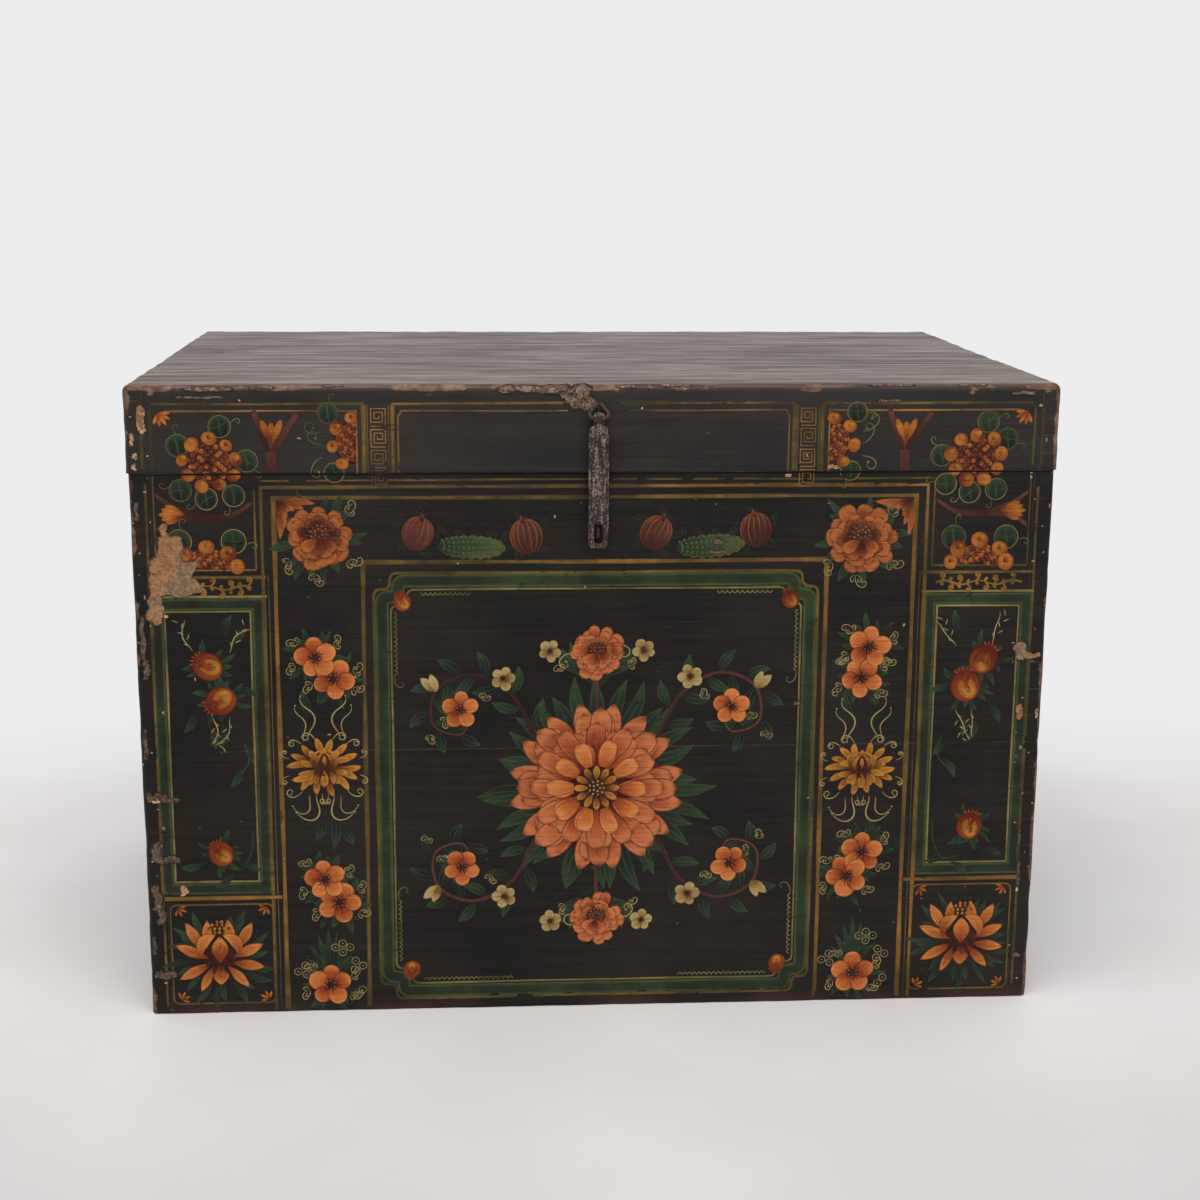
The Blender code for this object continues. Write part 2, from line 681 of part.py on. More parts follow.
def hasp_strap(trunk):
    """Flat iron strap that hangs from the loop by a forged knuckle, with a slot for the staple at its end."""
    axis_y, axis_z = hasp_axis()
    half, tongue = HASP_WIDTH / 2, HASP_TONGUE / 2
    low, shoulder = -HASP_LENGTH, -HASP_TONGUE_LENGTH
    left_end = arc((-half + HASP_END_RADIUS, low + HASP_END_RADIUS), HASP_END_RADIUS, 180, 270)
    right_end = arc((half - HASP_END_RADIUS, low + HASP_END_RADIUS), HASP_END_RADIUS, 270, 360)
    fillet = half - tongue
    right_top = arc((half - fillet, shoulder - fillet), fillet, 0, 90)
    left_top = arc((-half + fillet, shoulder - fillet), fillet, 90, 180)
    plate = [*left_end, *right_end, *right_top, (tongue, 0.0), (-tongue, 0.0), *left_top]
    slot_low, slot_half = low + SLOT_LAND, SLOT_WIDTH / 2
    slot = [
        *arc((0.0, slot_low + SLOT_HEIGHT - slot_half), slot_half, 0, 180),
        *arc((0.0, slot_low + slot_half), slot_half, 180, 360),
    ]
    mesh = outline_mesh("hasp_strap", [plate, slot], HASP_THICKNESS, facing_y(0.0))
    strap = trunk.fitting("hasp_strap", mesh, trunk.iron, trunk.hasp, (0.0, axis_y, axis_z))
    bore_radius = HASP_WIRE + KNUCKLE_GAP
    knuckle = trunk.cutter(
        "hasp_knuckle",
        rod_mesh(
            "hasp_knuckle",
            bore_radius + KNUCKLE_WALL,
            (-tongue, axis_y, axis_z),
            (tongue, axis_y, axis_z),
            2 * BORE_SIDES,
        ),
    )
    eye = trunk.cutter(
        "hasp_knuckle_bore",
        rod_mesh(
            "hasp_knuckle_bore",
            bore_radius / math.cos(math.pi / BORE_SIDES),
            (-half, axis_y, axis_z),
            (half, axis_y, axis_z),
            BORE_SIDES,
        ),
    )
    combine(strap, knuckle, "UNION")
    cut(strap, eye)


def padlock_staple(trunk, front_plank):
    """Upright staple in the chest front, whose nose stands behind the hasp's slot."""
    face = -CHEST_DEPTH / 2
    axis_y, axis_z = hasp_axis()
    nose = face - (axis_y + HASP_THICKNESS / 2 + NOSE_GAP)
    z = axis_z - HASP_LENGTH + SLOT_LAND + SLOT_HEIGHT / 2
    half = [(-deep, STAPLE_HALF + along) for deep, along in clinched_leg(WALL, STAPLE_WIRE)]
    crown_radius = STAPLE_HALF / 2
    crown = arc((nose - STAPLE_WIRE - crown_radius, STAPLE_HALF - crown_radius), crown_radius, 90, 0)
    half = [*half, *crown]
    path = [(0.0, -out, up) for out, up in half]
    path += [(0.0, -out, -up) for out, up in reversed(half)]
    wire(trunk, "padlock_staple", path, STAPLE_WIRE, trunk.chest, (0.0, face, z))
    for label, up in (("upper", STAPLE_HALF), ("lower", -STAPLE_HALF)):
        inside, outside = (0.0, face + WALL + TRIM, z + up), (0.0, face - TRIM, z + up)
        cut(front_plank, bore(trunk, f"padlock_staple_{label}_hole", STAPLE_WIRE, inside, outside))


def main():
    remove_everything()
    trunk = Trunk()
    walls = chest_walls(trunk)
    seam_dowels(trunk, walls)
    chest_bottom(trunk)
    rails = lid_frame(trunk)
    hinges(trunk, walls, rails)
    hasp_loop(trunk, rails["front"])
    hasp_strap(trunk)
    padlock_staple(trunk, walls["front_plank_upper"])


main()
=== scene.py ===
import math

import bpy
import numpy as np
from mathutils import Matrix, Vector


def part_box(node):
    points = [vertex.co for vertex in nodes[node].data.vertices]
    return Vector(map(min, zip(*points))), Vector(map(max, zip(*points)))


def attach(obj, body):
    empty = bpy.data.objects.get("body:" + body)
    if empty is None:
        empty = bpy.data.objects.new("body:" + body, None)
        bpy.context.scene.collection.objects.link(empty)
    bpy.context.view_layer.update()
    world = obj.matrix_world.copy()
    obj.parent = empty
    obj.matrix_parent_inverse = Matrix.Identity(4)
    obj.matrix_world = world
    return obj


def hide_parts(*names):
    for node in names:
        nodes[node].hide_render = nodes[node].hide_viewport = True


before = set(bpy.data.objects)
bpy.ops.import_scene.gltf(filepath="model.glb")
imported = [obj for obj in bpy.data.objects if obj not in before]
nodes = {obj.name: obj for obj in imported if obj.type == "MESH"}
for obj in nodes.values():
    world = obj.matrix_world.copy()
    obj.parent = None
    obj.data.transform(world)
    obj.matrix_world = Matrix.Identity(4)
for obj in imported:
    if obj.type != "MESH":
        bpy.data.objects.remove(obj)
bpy.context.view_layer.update()        # bodies chest, lid and hasp
rng = np.random.default_rng(19)
mm = 0.001


def nodeBox(*names):
    # lowest and highest corner of several nodes together
    boxes = [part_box(name) for name in names]
    low = np.min([np.array(box[0]) for box in boxes], axis=0)
    high = np.max([np.array(box[1]) for box in boxes], axis=0)
    return low, high


def planks(*sides):
    # names of both planks of each wall
    return [f"{side}_plank_{part}" for side in sides for part in ("lower", "upper")]


chestLow, chestHigh = nodeBox(*planks("front", "back", "left", "right"))
lidLow, lidHigh = nodeBox("lid_front_rail", "lid_back_rail", "lid_plank_front", "lid_plank_rear")
seamHeight = float(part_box("front_plank_lower")[1].z)      # between the two planks of each wall
plankSeams = [float(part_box("lid_plank_front")[1].y), float(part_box("lid_plank_rear")[0].y)]
strapFoot = float(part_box("hasp_strap")[0].z)
print("frame", len(nodes), "nodes, chest", chestLow, chestHigh)


# Shader tools

def plug(tree, socket, value):
    # a link into a socket, or a constant set on it
    if isinstance(value, Wire):
        tree.links.new(value.socket, socket)
    else:
        socket.default_value = value


class Wire:
    # a socket that takes part in sums: each operator adds a Math node
    def __init__(self, tree, socket):
        self.tree = tree
        self.socket = socket

    def math(self, operation, first, second=0.0):
        made = self.tree.nodes.new("ShaderNodeMath")
        made.operation = operation
        for socket, value in zip(made.inputs, (first, second)):
            plug(self.tree, socket, value)
        return Wire(self.tree, made.outputs[0])

    def __add__(self, other):
        return self.math("ADD", self, other)

    def __radd__(self, other):
        return self.math("ADD", other, self)

    def __sub__(self, other):
        return self.math("SUBTRACT", self, other)

    def __rsub__(self, other):
        return self.math("SUBTRACT", other, self)

    def __mul__(self, other):
        return self.math("MULTIPLY", self, other)

    def __rmul__(self, other):
        return self.math("MULTIPLY", other, self)

    def __abs__(self):
        return self.math("ABSOLUTE", self)

    def least(self, other):
        return self.math("MINIMUM", self, other)

    def most(self, other):
        return self.math("MAXIMUM", self, other)


def colour(code):
    # a written sRGB colour such as "b67038", as the linear values that a shader takes
    parts = [int(code[i:i + 2], 16) / 255 for i in (0, 2, 4)]
    return tuple(p / 12.92 if p <= 0.04045 else ((p + 0.055) / 1.055) ** 2.4 for p in parts) + (1.0,)


class Finish:
    # a material or a world under construction
    def __init__(self, name, store="materials"):
        self.owner = getattr(bpy.data, store).new(name)
        self.owner.use_nodes = True
        self.tree = self.owner.node_tree
        self.tree.nodes.clear()

    def node(self, kind, settings=None, sockets=None, output=0):
        made = self.tree.nodes.new("ShaderNode" + kind)
        for key, value in (settings or {}).items():
            if key == "stops":
                for _ in range(len(value) - len(made.color_ramp.elements)):
                    made.color_ramp.elements.new(1.0)
                for element, (position, code) in zip(made.color_ramp.elements, value):
                    element.position = position
                    element.color = colour(code)
            else:
                setattr(made, key, value)
        for key, value in (sockets or {}).items():
            plug(self.tree, made.inputs[key], value)
        return Wire(self.tree, made.outputs[output]) if made.outputs else None

    def place(self):
        return self.node("TexCoord", output="Object")

    def split(self, vector):
        made = self.node("SeparateXYZ", sockets={0: vector})
        return [Wire(self.tree, out) for out in made.socket.node.outputs]

    def mark(self):
        # along, across and tone of a brush mark, which its mesh carries
        return self.split(self.node("Attribute", {"attribute_name": "mark"}, output="Vector"))

    def rays(self):
        # whether a ray comes from the camera, off a glossy surface or through a clear one
        outputs = self.node("LightPath").socket.node.outputs
        return [Wire(self.tree, outputs[f"Is {kind} Ray"]) for kind in ("Camera", "Glossy", "Transmission")]

    def join(self, x, y, z):
        return self.node("CombineXYZ", sockets={0: x, 1: y, 2: z})

    def noise(self, vector, scale=1.0, detail=3.0, rough=0.55, twist=0.0):
        names = ("Vector", "Scale", "Detail", "Roughness", "Distortion")
        return self.node("TexNoise", sockets=dict(zip(names, (vector, scale, detail, rough, twist))))

    def streaks(self, vector, scales, detail=3.0, rough=0.55, twist=0.0):
        # noise with a scale of its own along each axis
        stretched = self.node("VectorMath", {"operation": "MULTIPLY"}, {0: vector, 1: scales})
        return self.noise(stretched, 1.0, detail, rough, twist)

    def step(self, value, low, high):
        # 0 below low, 1 above high and a smooth rise between them
        sockets = {"Value": value, "From Min": low, "From Max": high}
        return self.node("MapRange", {"interpolation_type": "SMOOTHSTEP"}, sockets)

    def mix(self, factor, first, second):
        # two colours, each a link or a written code
        first, second = [colour(c) if isinstance(c, str) else c for c in (first, second)]
        return self.node("Mix", {"data_type": "RGBA"}, {0: factor, 6: first, 7: second}, output=2)

    def ramp(self, value, stops):
        return self.node("ValToRGB", {"stops": stops}, {0: value})

    def bump(self, height, strength, depth):
        return self.node("Bump", sockets={"Height": height, "Strength": strength, "Distance": depth})

    def surface(self, **values):
        names = {"base": "Base Color", "rough": "Roughness", "metal": "Metallic", "normal": "Normal",
                 "shine": "Specular IOR Level", "coat": "Coat Weight", "coatRough": "Coat Roughness"}
        shader = self.node("BsdfPrincipled", sockets={names[key]: value for key, value in values.items()})
        self.node("OutputMaterial", sockets={"Surface": shader})
        return self.owner


# Finishes

lacquerLook = {
    "chest": ("110f0d", "231e1a"),      # the lacquer itself, deep and faded
    "lid": ("191614", "2b2521"),
    "top": ("1a110c", "33221a", "523a2a", "866850"),    # rubbed top of the lid, dark streaks to bright
    "polish": (0.02, 0.42),             # least and most gloss left on top of the lid
    "ground": "86705a",                 # clay ground where the lacquer has flaked
    "wood": "4a2c22",                   # the wood on bare edges
    "tan": "866650",
    "gap": "080706",                    # painted shade with some grime in the gap where the lid meets the chest, also the dark seams of the top's planks
    "roughness": 0.40,
    "edgeWear": {"chest": 0.008, "lid": 0.011},         # how far wear reaches in from an edge, in metres
    "shine": {"chest": 0.20, "lid": 0.30},
    # depth of the corner joints and half their pitch
    "joint": {"chest": (0.018, 0.0131), "lid": (0.016, 0.0083)},
}


def cornerDistance(x, y, high):
    # distance along the surface to the nearest upright corner of a box
    return (float(high[0]) - abs(x)).most(float(high[1]) - abs(y))


def topDistance(x, y, z, high):
    # distance along the surface to the upper edge of a box
    return (float(high[2]) - z).most((float(high[0]) - abs(x)).least(float(high[1]) - abs(y)))


def lacquerFinish(part, low, high, topEdge):
    # dark lacquer with fine level grain and the joints below just showing,
    # rubbed and chipped towards the edges of its box, and with painted shade next to the gap between lid and
    # chest
    look = lacquerLook
    f = Finish(part + "Lacquer")
    place = f.place()
    x, y, z = f.split(place)
    front, bottom, top = float(low[1]), float(low[2]), float(high[2])
    grain = f.streaks(place, (5.0, 5.0, 210.0), 4.0, 0.6)
    thread = f.streaks(place, (17.0, 17.0, 760.0), 3.0, 0.6)
    cloud = f.noise(place, 7.0, 4.0, 0.6)
    speck = f.noise(place, 95.0, 6.0, 0.62)
    patchy = f.noise(place, 13.0, 3.0)
    corner = cornerDistance(x, y, high)
    nearest = corner.least(topDistance(x, y, z, high)) if topEdge else corner
    reach = f.noise(place, 26.0, 3.0) * look["edgeWear"][part] * 2.0
    worn = (1 - f.step(nearest, 0.0, reach)) * f.step(patchy, 0.40, 0.56)

    # fingers of the corner joints, and the seam between the planks
    depth, half = look["joint"][part]
    rung = f.node("Math", {"operation": "PINGPONG"}, {0: z - bottom, 1: half})
    fingers = (1 - f.step(rung, 0.0002, 0.0008)) * (1 - f.step(corner, depth, depth + 0.0006))
    fingers = fingers.most(1 - f.step(abs(corner - depth), 0.0002, 0.0008))
    seam = 1 - f.step(abs(z - seamHeight), 0.0002, 0.0010)
    plain = f.step(y, front + 0.004, front + 0.012)         # the painted front is rubbed least
    joint = fingers.most(seam) * f.step(patchy * 0.6 + speck * 0.4, 0.42, 0.60) * (0.35 + plain * 0.65)
    scratch = f.streaks(place, (3.0, 3.0, 620.0), 4.0, 0.7) * 0.7 + patchy * 0.3
    scratch = f.step(scratch, 0.585, 0.635) * (0.15 + plain * 0.85)

    base = f.mix(f.step(cloud * 0.5 + grain * 0.25 + thread * 0.25, 0.38, 0.64), *look[part])
    # painted shade with some grime: the lacquer goes near black within a few millimetres of the gap between
    # lid and chest
    rim = z - bottom if topEdge else top - z
    base = f.mix((1 - f.step(rim, 0.0003, 0.0024)) * 0.85, base, look["gap"])
    base = f.mix(scratch * 0.22, base, look["ground"])
    base = f.mix(joint * 0.40, base, look["ground"])
    rough = look["roughness"] + cloud * 0.16 + grain * 0.08 + scratch * 0.1
    height = grain * 0.4 + cloud * 0.3 + thread * 0.35 - joint * 0.8
    coat = 0.0
    if topEdge:
        # streaks along each board of the top, which differ from board to board: 0, 1 or 2 from the front
        upper = f.step(z, top - 0.003, top - 0.0008)
        board = sum(f.step(y, edge - 0.0004, edge + 0.0004) for edge in plankSeams)
        along = f.join(x + board * 2.3, y, z + board * 0.7)
        streak = f.streaks(along, (5.0, 60.0, 20.0), 7.0, 0.74, 0.3)
        hair = f.streaks(along, (13.0, 290.0, 60.0), 4.0, 0.66)
        blot = f.noise(along, 9.0, 5.0, 0.6)
        tone = streak * 0.42 + hair * 0.36 + blot * 0.22 + abs(board - 1) * 0.03
        rubbed = f.ramp(tone, tuple(zip((0.34, 0.46, 0.57, 0.71), look["top"])))
        split = abs(y - plankSeams[0]).least(abs(y - plankSeams[1])) + (hair - 0.5) * 0.004
        rubbed = f.mix((1 - f.step(split, 0.0006, 0.0026)) * 0.85, rubbed, look["gap"])
        base = f.mix(upper, base, rubbed)
        least, most = look["polish"]
        coat = upper * (least + f.step(streak * 0.45 + hair * 0.55, 0.45, 0.57) * (most - least))
        height = height + upper * (streak * 0.5 + hair * 0.4)
    chip = f.step(speck + worn * 0.20, 0.705, 0.735)
    bare = f.step(worn + cloud * 0.5 + speck * 0.3, 1.08, 1.20)
    bared = f.ramp(speck * 0.6 + grain * 0.4, ((0.38, look["wood"]), (0.62, look["tan"])))
    base = f.mix(chip, base, f.mix(f.noise(place, 55.0, 4.0), look["ground"], look["wood"]))
    base = f.mix(bare * 0.85, base, bared)
    if not topEdge:
        foot = (1 - f.step(z - bottom, 0.0, 0.014)) * f.step(cloud, 0.40, 0.62)
        base = f.mix(foot * 0.6, base, look["wood"])
    rough = rough + chip.most(bare) * 0.25
    normal = f.bump(height - chip * 1.2 - bare * 0.6 + speck * 0.25, 0.55, 0.0006)
    shine = look["shine"][part]
    return f.surface(base=base, rough=rough, normal=normal, shine=shine, coat=coat, coatRough=0.20)


paintLooks = {
    # colours at the root, body and tip of a stroke, of its pale margin and its outline,
    # then how strong its vein is and how much is rubbed off
    "coral": ("5a1a09", "a04a24", "b8643a", "c87a49", "44140a", 0.0, 0.16),
    "brick": ("4c1a08", "86441c", "9e5828", "ae6633", "38120a", 0.0, 0.18),
    "russet": ("2c0d08", "4a1d0f", "6a3218", "834722", "240a05", 0.0, 0.20),
    "apricot": ("7a2a10", "b9642c", "c9783e", "d5884c", "571c0c", 0.0, 0.12),
    "lotus": ("742a0a", "ac6226", "c27434", "ce8240", "3c1808", 0.20, 0.14),
    "gold": ("4e260a", "9c6220", "b6762a", "c48834", "2c1406", 0.22, 0.16),
    "amber": ("5e240a", "9c581e", "bb742a", "8e5018", "321205", 0.0, 0.20),
    "maroon": ("2c0e08", "40180e", "4e2212", "481d10", "200a06", 0.0, 0.30),
    "rust": ("34160f", "4c2a22", "5c3428", "623a2e", "260f0a", 0.0, 0.28),
    "leaf": ("121712", "1b281b", "273a22", "2d4229", "444830", 0.45, 0.34),
    "cream": ("7c6c46", "a69158", "94814e", "ae9960", "524426", 0.0, 0.26),
    "ivory": ("6a4c26", "a58b54", "b09862", "b49e6c", "503a1e", 0.2, 0.18),
    "fruit": ("561604", "84360e", "9a4c16", "722a0a", "300c04", 0.0, 0.14),
    "melon": ("1d281a", "313e22", "434d29", "50552d", "585430", 0.0, 0.30),
    "smoke": ("24241e", "302f28", "2a2922", "36352d", "1e1e1a", 0.0, 0.35),
    "paleLeaf": ("2b3a22", "42512e", "4a5832", "56623a", "243018", 0.0, 0.32),
}
ruleLooks = {
    # dim, middle and bright tones along a ruled line, its edge, how much is rubbed off
    "gilt": ("362e17", "5c481d", "81602c", "42381c", 0.42),
    "ochre": ("4c3916", "7a5522", "a56f2e", "57451d", 0.38),
    "paleGilt": ("4c4422", "766938", "97834e", "4e4a28", 0.42),
    "green": ("151a10", "222a19", "2c3e21", "48572e", 0.36),
}


def rubbing(f, place, rub):
    # where paint has gone: level cracks, small patches and a broad drift together
    weave = f.streaks(place, (14.0, 14.0, 620.0), 3.0, 0.6)
    patch = f.noise(place, 75.0, 5.0, 0.66)
    drift = f.noise(place, 15.0, 3.0, 0.6)
    grime = f.step(weave * 0.45 + patch * 0.35 + drift * 0.20, 0.42, 0.64)
    bare = f.step(patch * 0.50 + weave * 0.30 + drift * 0.20, 0.635 - rub * 0.20, 0.70 - rub * 0.14)
    return grime, bare, patch, drift


def paintFinish(name, look):
    # brush paint: colours follow the stroke from root to tip, hairs streak it and rubbing bares the lacquer
    root, body, tip, margin, outline, vein, rub = look
    f = Finish(name)
    along, across, tone = f.mark()
    grime, bare, patch, _ = rubbing(f, f.place(), rub)
    hairs = f.noise(f.join(along * 3.0 + tone * 31.0, across * 6.5, tone * 17.0), 1.6, 4.0, 0.65)
    blend = along + (hairs - 0.5) * 0.95 + (tone - 0.5) * 0.55 + (patch - 0.5) * 0.6
    paint = f.ramp(blend, ((0.08, root), (0.5, body), (0.92, tip)))
    side = abs(across).most(along * 1.3 - 0.32) + (hairs - 0.5) * 0.28
    paint = f.mix(f.step(side, 0.50, 0.80) * f.step(blend, 0.3, 0.7) * 0.65, paint, margin)
    paint = f.mix(f.step(side, 0.83, 0.97) * 0.80, paint, outline)
    if vein:
        paint = f.mix((1 - f.step(abs(across), 0.05, 0.20)) * vein, paint, outline)
    paint = f.mix(grime * 0.55, paint, root)
    paint = f.mix(bare * 0.85, paint, lacquerLook["chest"][0])
    normal = f.bump(hairs * 0.5 + patch * 0.4 - bare * 0.6, 0.35, 0.0003)
    return f.surface(base=paint, rough=0.44 + patch * 0.18, normal=normal, shine=0.20)


def ruleFinish(name, look):
    # ruled lines and bands: their tone drifts along them
    dim, middle, bright, edge, rub = look
    f = Finish(name)
    _, across, tone = f.mark()
    place = f.place()
    grime, bare, patch, drift = rubbing(f, place, rub)
    flow = f.noise(place, 34.0, 4.0, 0.6)
    level = drift * 0.55 + flow * 0.35 + (tone - 0.5) * 0.10
    paint = f.ramp(level, ((0.36, dim), (0.46, middle), (0.58, bright)))
    paint = f.mix(f.step(abs(across) + (flow - 0.5) * 0.5, 0.45, 0.95) * 0.7, paint, edge)
    paint = f.mix(grime * 0.40, paint, dim)
    paint = f.mix(bare * 0.80, paint, lacquerLook["chest"][0])
    normal = f.bump(flow * 0.4 + patch * 0.4 - bare * 0.6, 0.35, 0.0003)
    return f.surface(base=paint, rough=0.42 + patch * 0.18, normal=normal, shine=0.22)


wornLooks = {
    # clay, its pale places, wood, islands of lacquer, how few islands, how pitted
    "clay": ("93653f", "ad8156", "786550", "241c16", 0.46, 0.34),
    "worn": ("5c4839", "7a6756", "453126", "1c1815", 0.15, 0.6),
    "smear": ("5f4939", "8f8074", "573c2c", "1c1713", 0.06, 0.7),
    "chipped": ("b38964", "dcb38c", "80583a", "241c17", 0.8, 0.3),
}


def wornFinish(name, look):
    # bared ground: clay and wood in streaks, pale flecks and dark pits a few millimetres wide,
    # and islands of lacquer that close in towards the patch's edge
    clay, pale, wood, islands, few, pitted = look
    f = Finish(name)
    along, across, _ = f.mark()
    place = f.place()
    blot = f.noise(place, 130.0, 6.0, 0.72)
    scrape = f.streaks(place, (120.0, 120.0, 420.0), 5.0, 0.7)
    cloud = f.noise(place, 38.0, 3.0, 0.6)
    grain = f.noise(place, 420.0, 4.0, 0.7)
    base = f.mix(f.step(scrape * 0.35 + cloud * 0.65, 0.42, 0.60), wood, clay)
    base = f.mix(f.step(blot * 0.45 + grain * 0.55, 0.48, 0.58) * 0.80, base, pale)
    pits = 1 - f.step(grain * 0.65 + blot * 0.35, 0.40, 0.47)
    base = f.mix(pits * pitted, base, islands)
    rim = abs(across).most(abs(along * 2.0 - 1.0))
    ragged = blot * 0.6 + grain * 0.45 + cloud * 0.35 + f.step(rim, 0.35, 1.0) * 0.34
    left = f.step(ragged, 0.86 + few * 0.2, 0.92 + few * 0.2)
    base = f.mix(left * 0.92, base, islands)
    normal = f.bump(blot * 0.4 + grain * 0.3 + scrape * 0.3 + left * 0.8, 0.6, 0.0006)
    return f.surface(base=base, rough=0.62 + scrape * 0.2, normal=normal, shine=0.22)


woodLook = {
    # the last colour is painted shade next to the gap between lid and chest
    "pale": "9a7a56", "mid": "7d5d3f", "dark": "553b29", "gapShade": "2a211c",
    "gapShadeReach": 0.004,         # how far the painted shade runs in from the gap under the lid
}


def woodFinish(name, grainAxis, gapShadeAbove=None, gapShadeBelow=None):
    # old softwood: long grain along one axis, growth bands across it, darkened in clouds where hands and dust
    # reach, and with painted shade next to the gap under the lid
    look = woodLook
    f = Finish(name)
    place = f.place()
    _, _, z = f.split(place)
    scales = [46.0, 46.0, 46.0]
    scales["xyz".index(grainAxis)] = 1.7
    bands = f.streaks(place, scales, 3.0, 0.55, 0.9)
    fibre = f.streaks(place, [k * 7 for k in scales], 4.0, 0.6)
    cloud = f.noise(place, 6.0, 3.0)
    tones = tuple(zip((0.30, 0.48, 0.68), (look["dark"], look["mid"], look["pale"])))
    base = f.ramp(bands * 0.7 + fibre * 0.3, tones)
    base = f.mix(f.step(cloud, 0.42, 0.72) * 0.55, base, look["dark"])
    # painted shade: the wood goes dark towards the gap between lid and chest
    if gapShadeAbove is not None:
        base = f.mix(f.step(z + fibre * 0.01, gapShadeAbove, gapShadeAbove + 0.007), base, look["gapShade"])
    if gapShadeBelow is not None:
        base = f.mix(1 - f.step(z + fibre * 0.01, gapShadeBelow - 0.002, gapShadeBelow + 0.006), base, look["gapShade"])
    normal = f.bump(bands * 0.4 + fibre * 0.6, 0.6, 0.0008)
    return f.surface(base=base, rough=0.70 + fibre * 0.15, normal=normal, shine=0.25)


def bambooFinish():
    # split bamboo: straight pale fibres with darker nodes of dirt
    f = Finish("bamboo")
    fibre = f.streaks(f.place(), (600.0, 600.0, 40.0), 3.0)
    base = f.ramp(fibre, ((0.3, "7a5c34"), (0.55, "a3814e"), (0.8, "b89a64")))
    return f.surface(base=base, rough=0.5 + fibre * 0.2, normal=f.bump(fibre, 0.4, 0.0004), shine=0.35)


ironLook = {"bright": "98867b", "dark": "292220", "rust": "44291d", "orange": "5f3822"}


def ironFinish(name, rusty):
    # hand-forged iron: dark scale rubbed bright on high spots, pitted, with rust in the hollows
    look = ironLook
    f = Finish(name)
    place = f.place()
    pits = f.noise(place, 560.0, 5.0, 0.70)
    dents = f.noise(place, 130.0, 4.0, 0.6)
    streak = f.streaks(place, (420.0, 420.0, 60.0), 4.0, 0.66)
    bright = f.step(pits * 0.55 + streak * 0.45, 0.49, 0.60) * (1 - rusty * 0.7)
    rust = f.step(dents + pits * 0.3, 0.70 - rusty * 0.26, 0.90 - rusty * 0.24)
    base = f.mix(bright, look["dark"], look["bright"])
    base = f.mix(rust, base, f.mix(pits, look["rust"], look["orange"]))
    metal = 0.22 + bright * 0.25 - rust * 0.2
    rough = 0.60 - bright * 0.16 + rust * 0.2
    normal = f.bump(pits * 0.5 + dents * 0.6 + streak * 0.3, 0.8, 0.0007)
    return f.surface(base=base, rough=rough, metal=metal, normal=normal, shine=0.35)


chestFinish = lacquerFinish("chest", chestLow, chestHigh, False)
lidFinish = lacquerFinish("lid", lidLow, lidHigh, True)
paints = {name: paintFinish(name + "Paint", look) for name, look in paintLooks.items()}
paints.update({name: ruleFinish(name + "Paint", look) for name, look in ruleLooks.items()})
paints.update({name: wornFinish(name + "Patch", look) for name, look in wornLooks.items()})
print("finishes", len(paints) + 2)


# Mesh tools

def gridFaces(rows, columns, loopRows=False, loopColumns=False):
    # quads of a grid of points numbered row by row, wrapped where a direction closes on itself
    r = np.arange(rows if loopRows else rows - 1)
    c = np.arange(columns if loopColumns else columns - 1)
    r, c = np.meshgrid(r, c, indexing="ij")
    nextR, nextC = (r + 1) % rows, (c + 1) % columns
    corners = [r * columns + c, nextR * columns + c, nextR * columns + nextC, r * columns + nextC]
    return np.stack(corners, -1).reshape(-1, 4)


def addPiece(name, points, faceSets, body, finish, marks=None, smooth=True):
    # a mesh object from arrays of points and of faces, each array holding faces with one number of corners
    corners = np.concatenate([faces.ravel() for faces in faceSets])
    sizes = np.concatenate([np.full(len(faces), faces.shape[1]) for faces in faceSets])
    mesh = bpy.data.meshes.new(name)
    mesh.vertices.add(len(points))
    mesh.vertices.foreach_set("co", points.astype(np.float32).ravel())
    mesh.loops.add(len(corners))
    mesh.loops.foreach_set("vertex_index", corners.astype(np.int32))
    mesh.polygons.add(len(sizes))
    mesh.polygons.foreach_set("loop_start", (np.cumsum(sizes) - sizes).astype(np.int32))
    mesh.polygons.foreach_set("use_smooth", np.full(len(sizes), smooth))
    if marks is not None:
        attribute = mesh.attributes.new("mark", "FLOAT_VECTOR", "POINT")
        attribute.data.foreach_set("vector", marks.astype(np.float32).ravel())
    mesh.update(calc_edges=True)
    mesh.validate()
    mesh.materials.append(finish)
    piece = bpy.data.objects.new(name, mesh)
    bpy.context.scene.collection.objects.link(piece)
    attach(piece, body)
    return piece


def waveField(count, shortest, longest, seed):
    # a sum of sine waves with random directions, lengths and phases, as a function of points in metres
    draw = np.random.default_rng(seed)
    directions = draw.normal(size=(count, 3))
    directions /= np.linalg.norm(directions, axis=1)[:, None]
    lengths = shortest * (longest / shortest) ** draw.random(count)
    phases = draw.random(count) * 2 * np.pi

    def field(points):
        turns = points @ (directions / lengths[:, None]).T * 2 * np.pi + phases
        return np.sin(turns).mean(-1)

    return field


# Lacquer skins over the planks

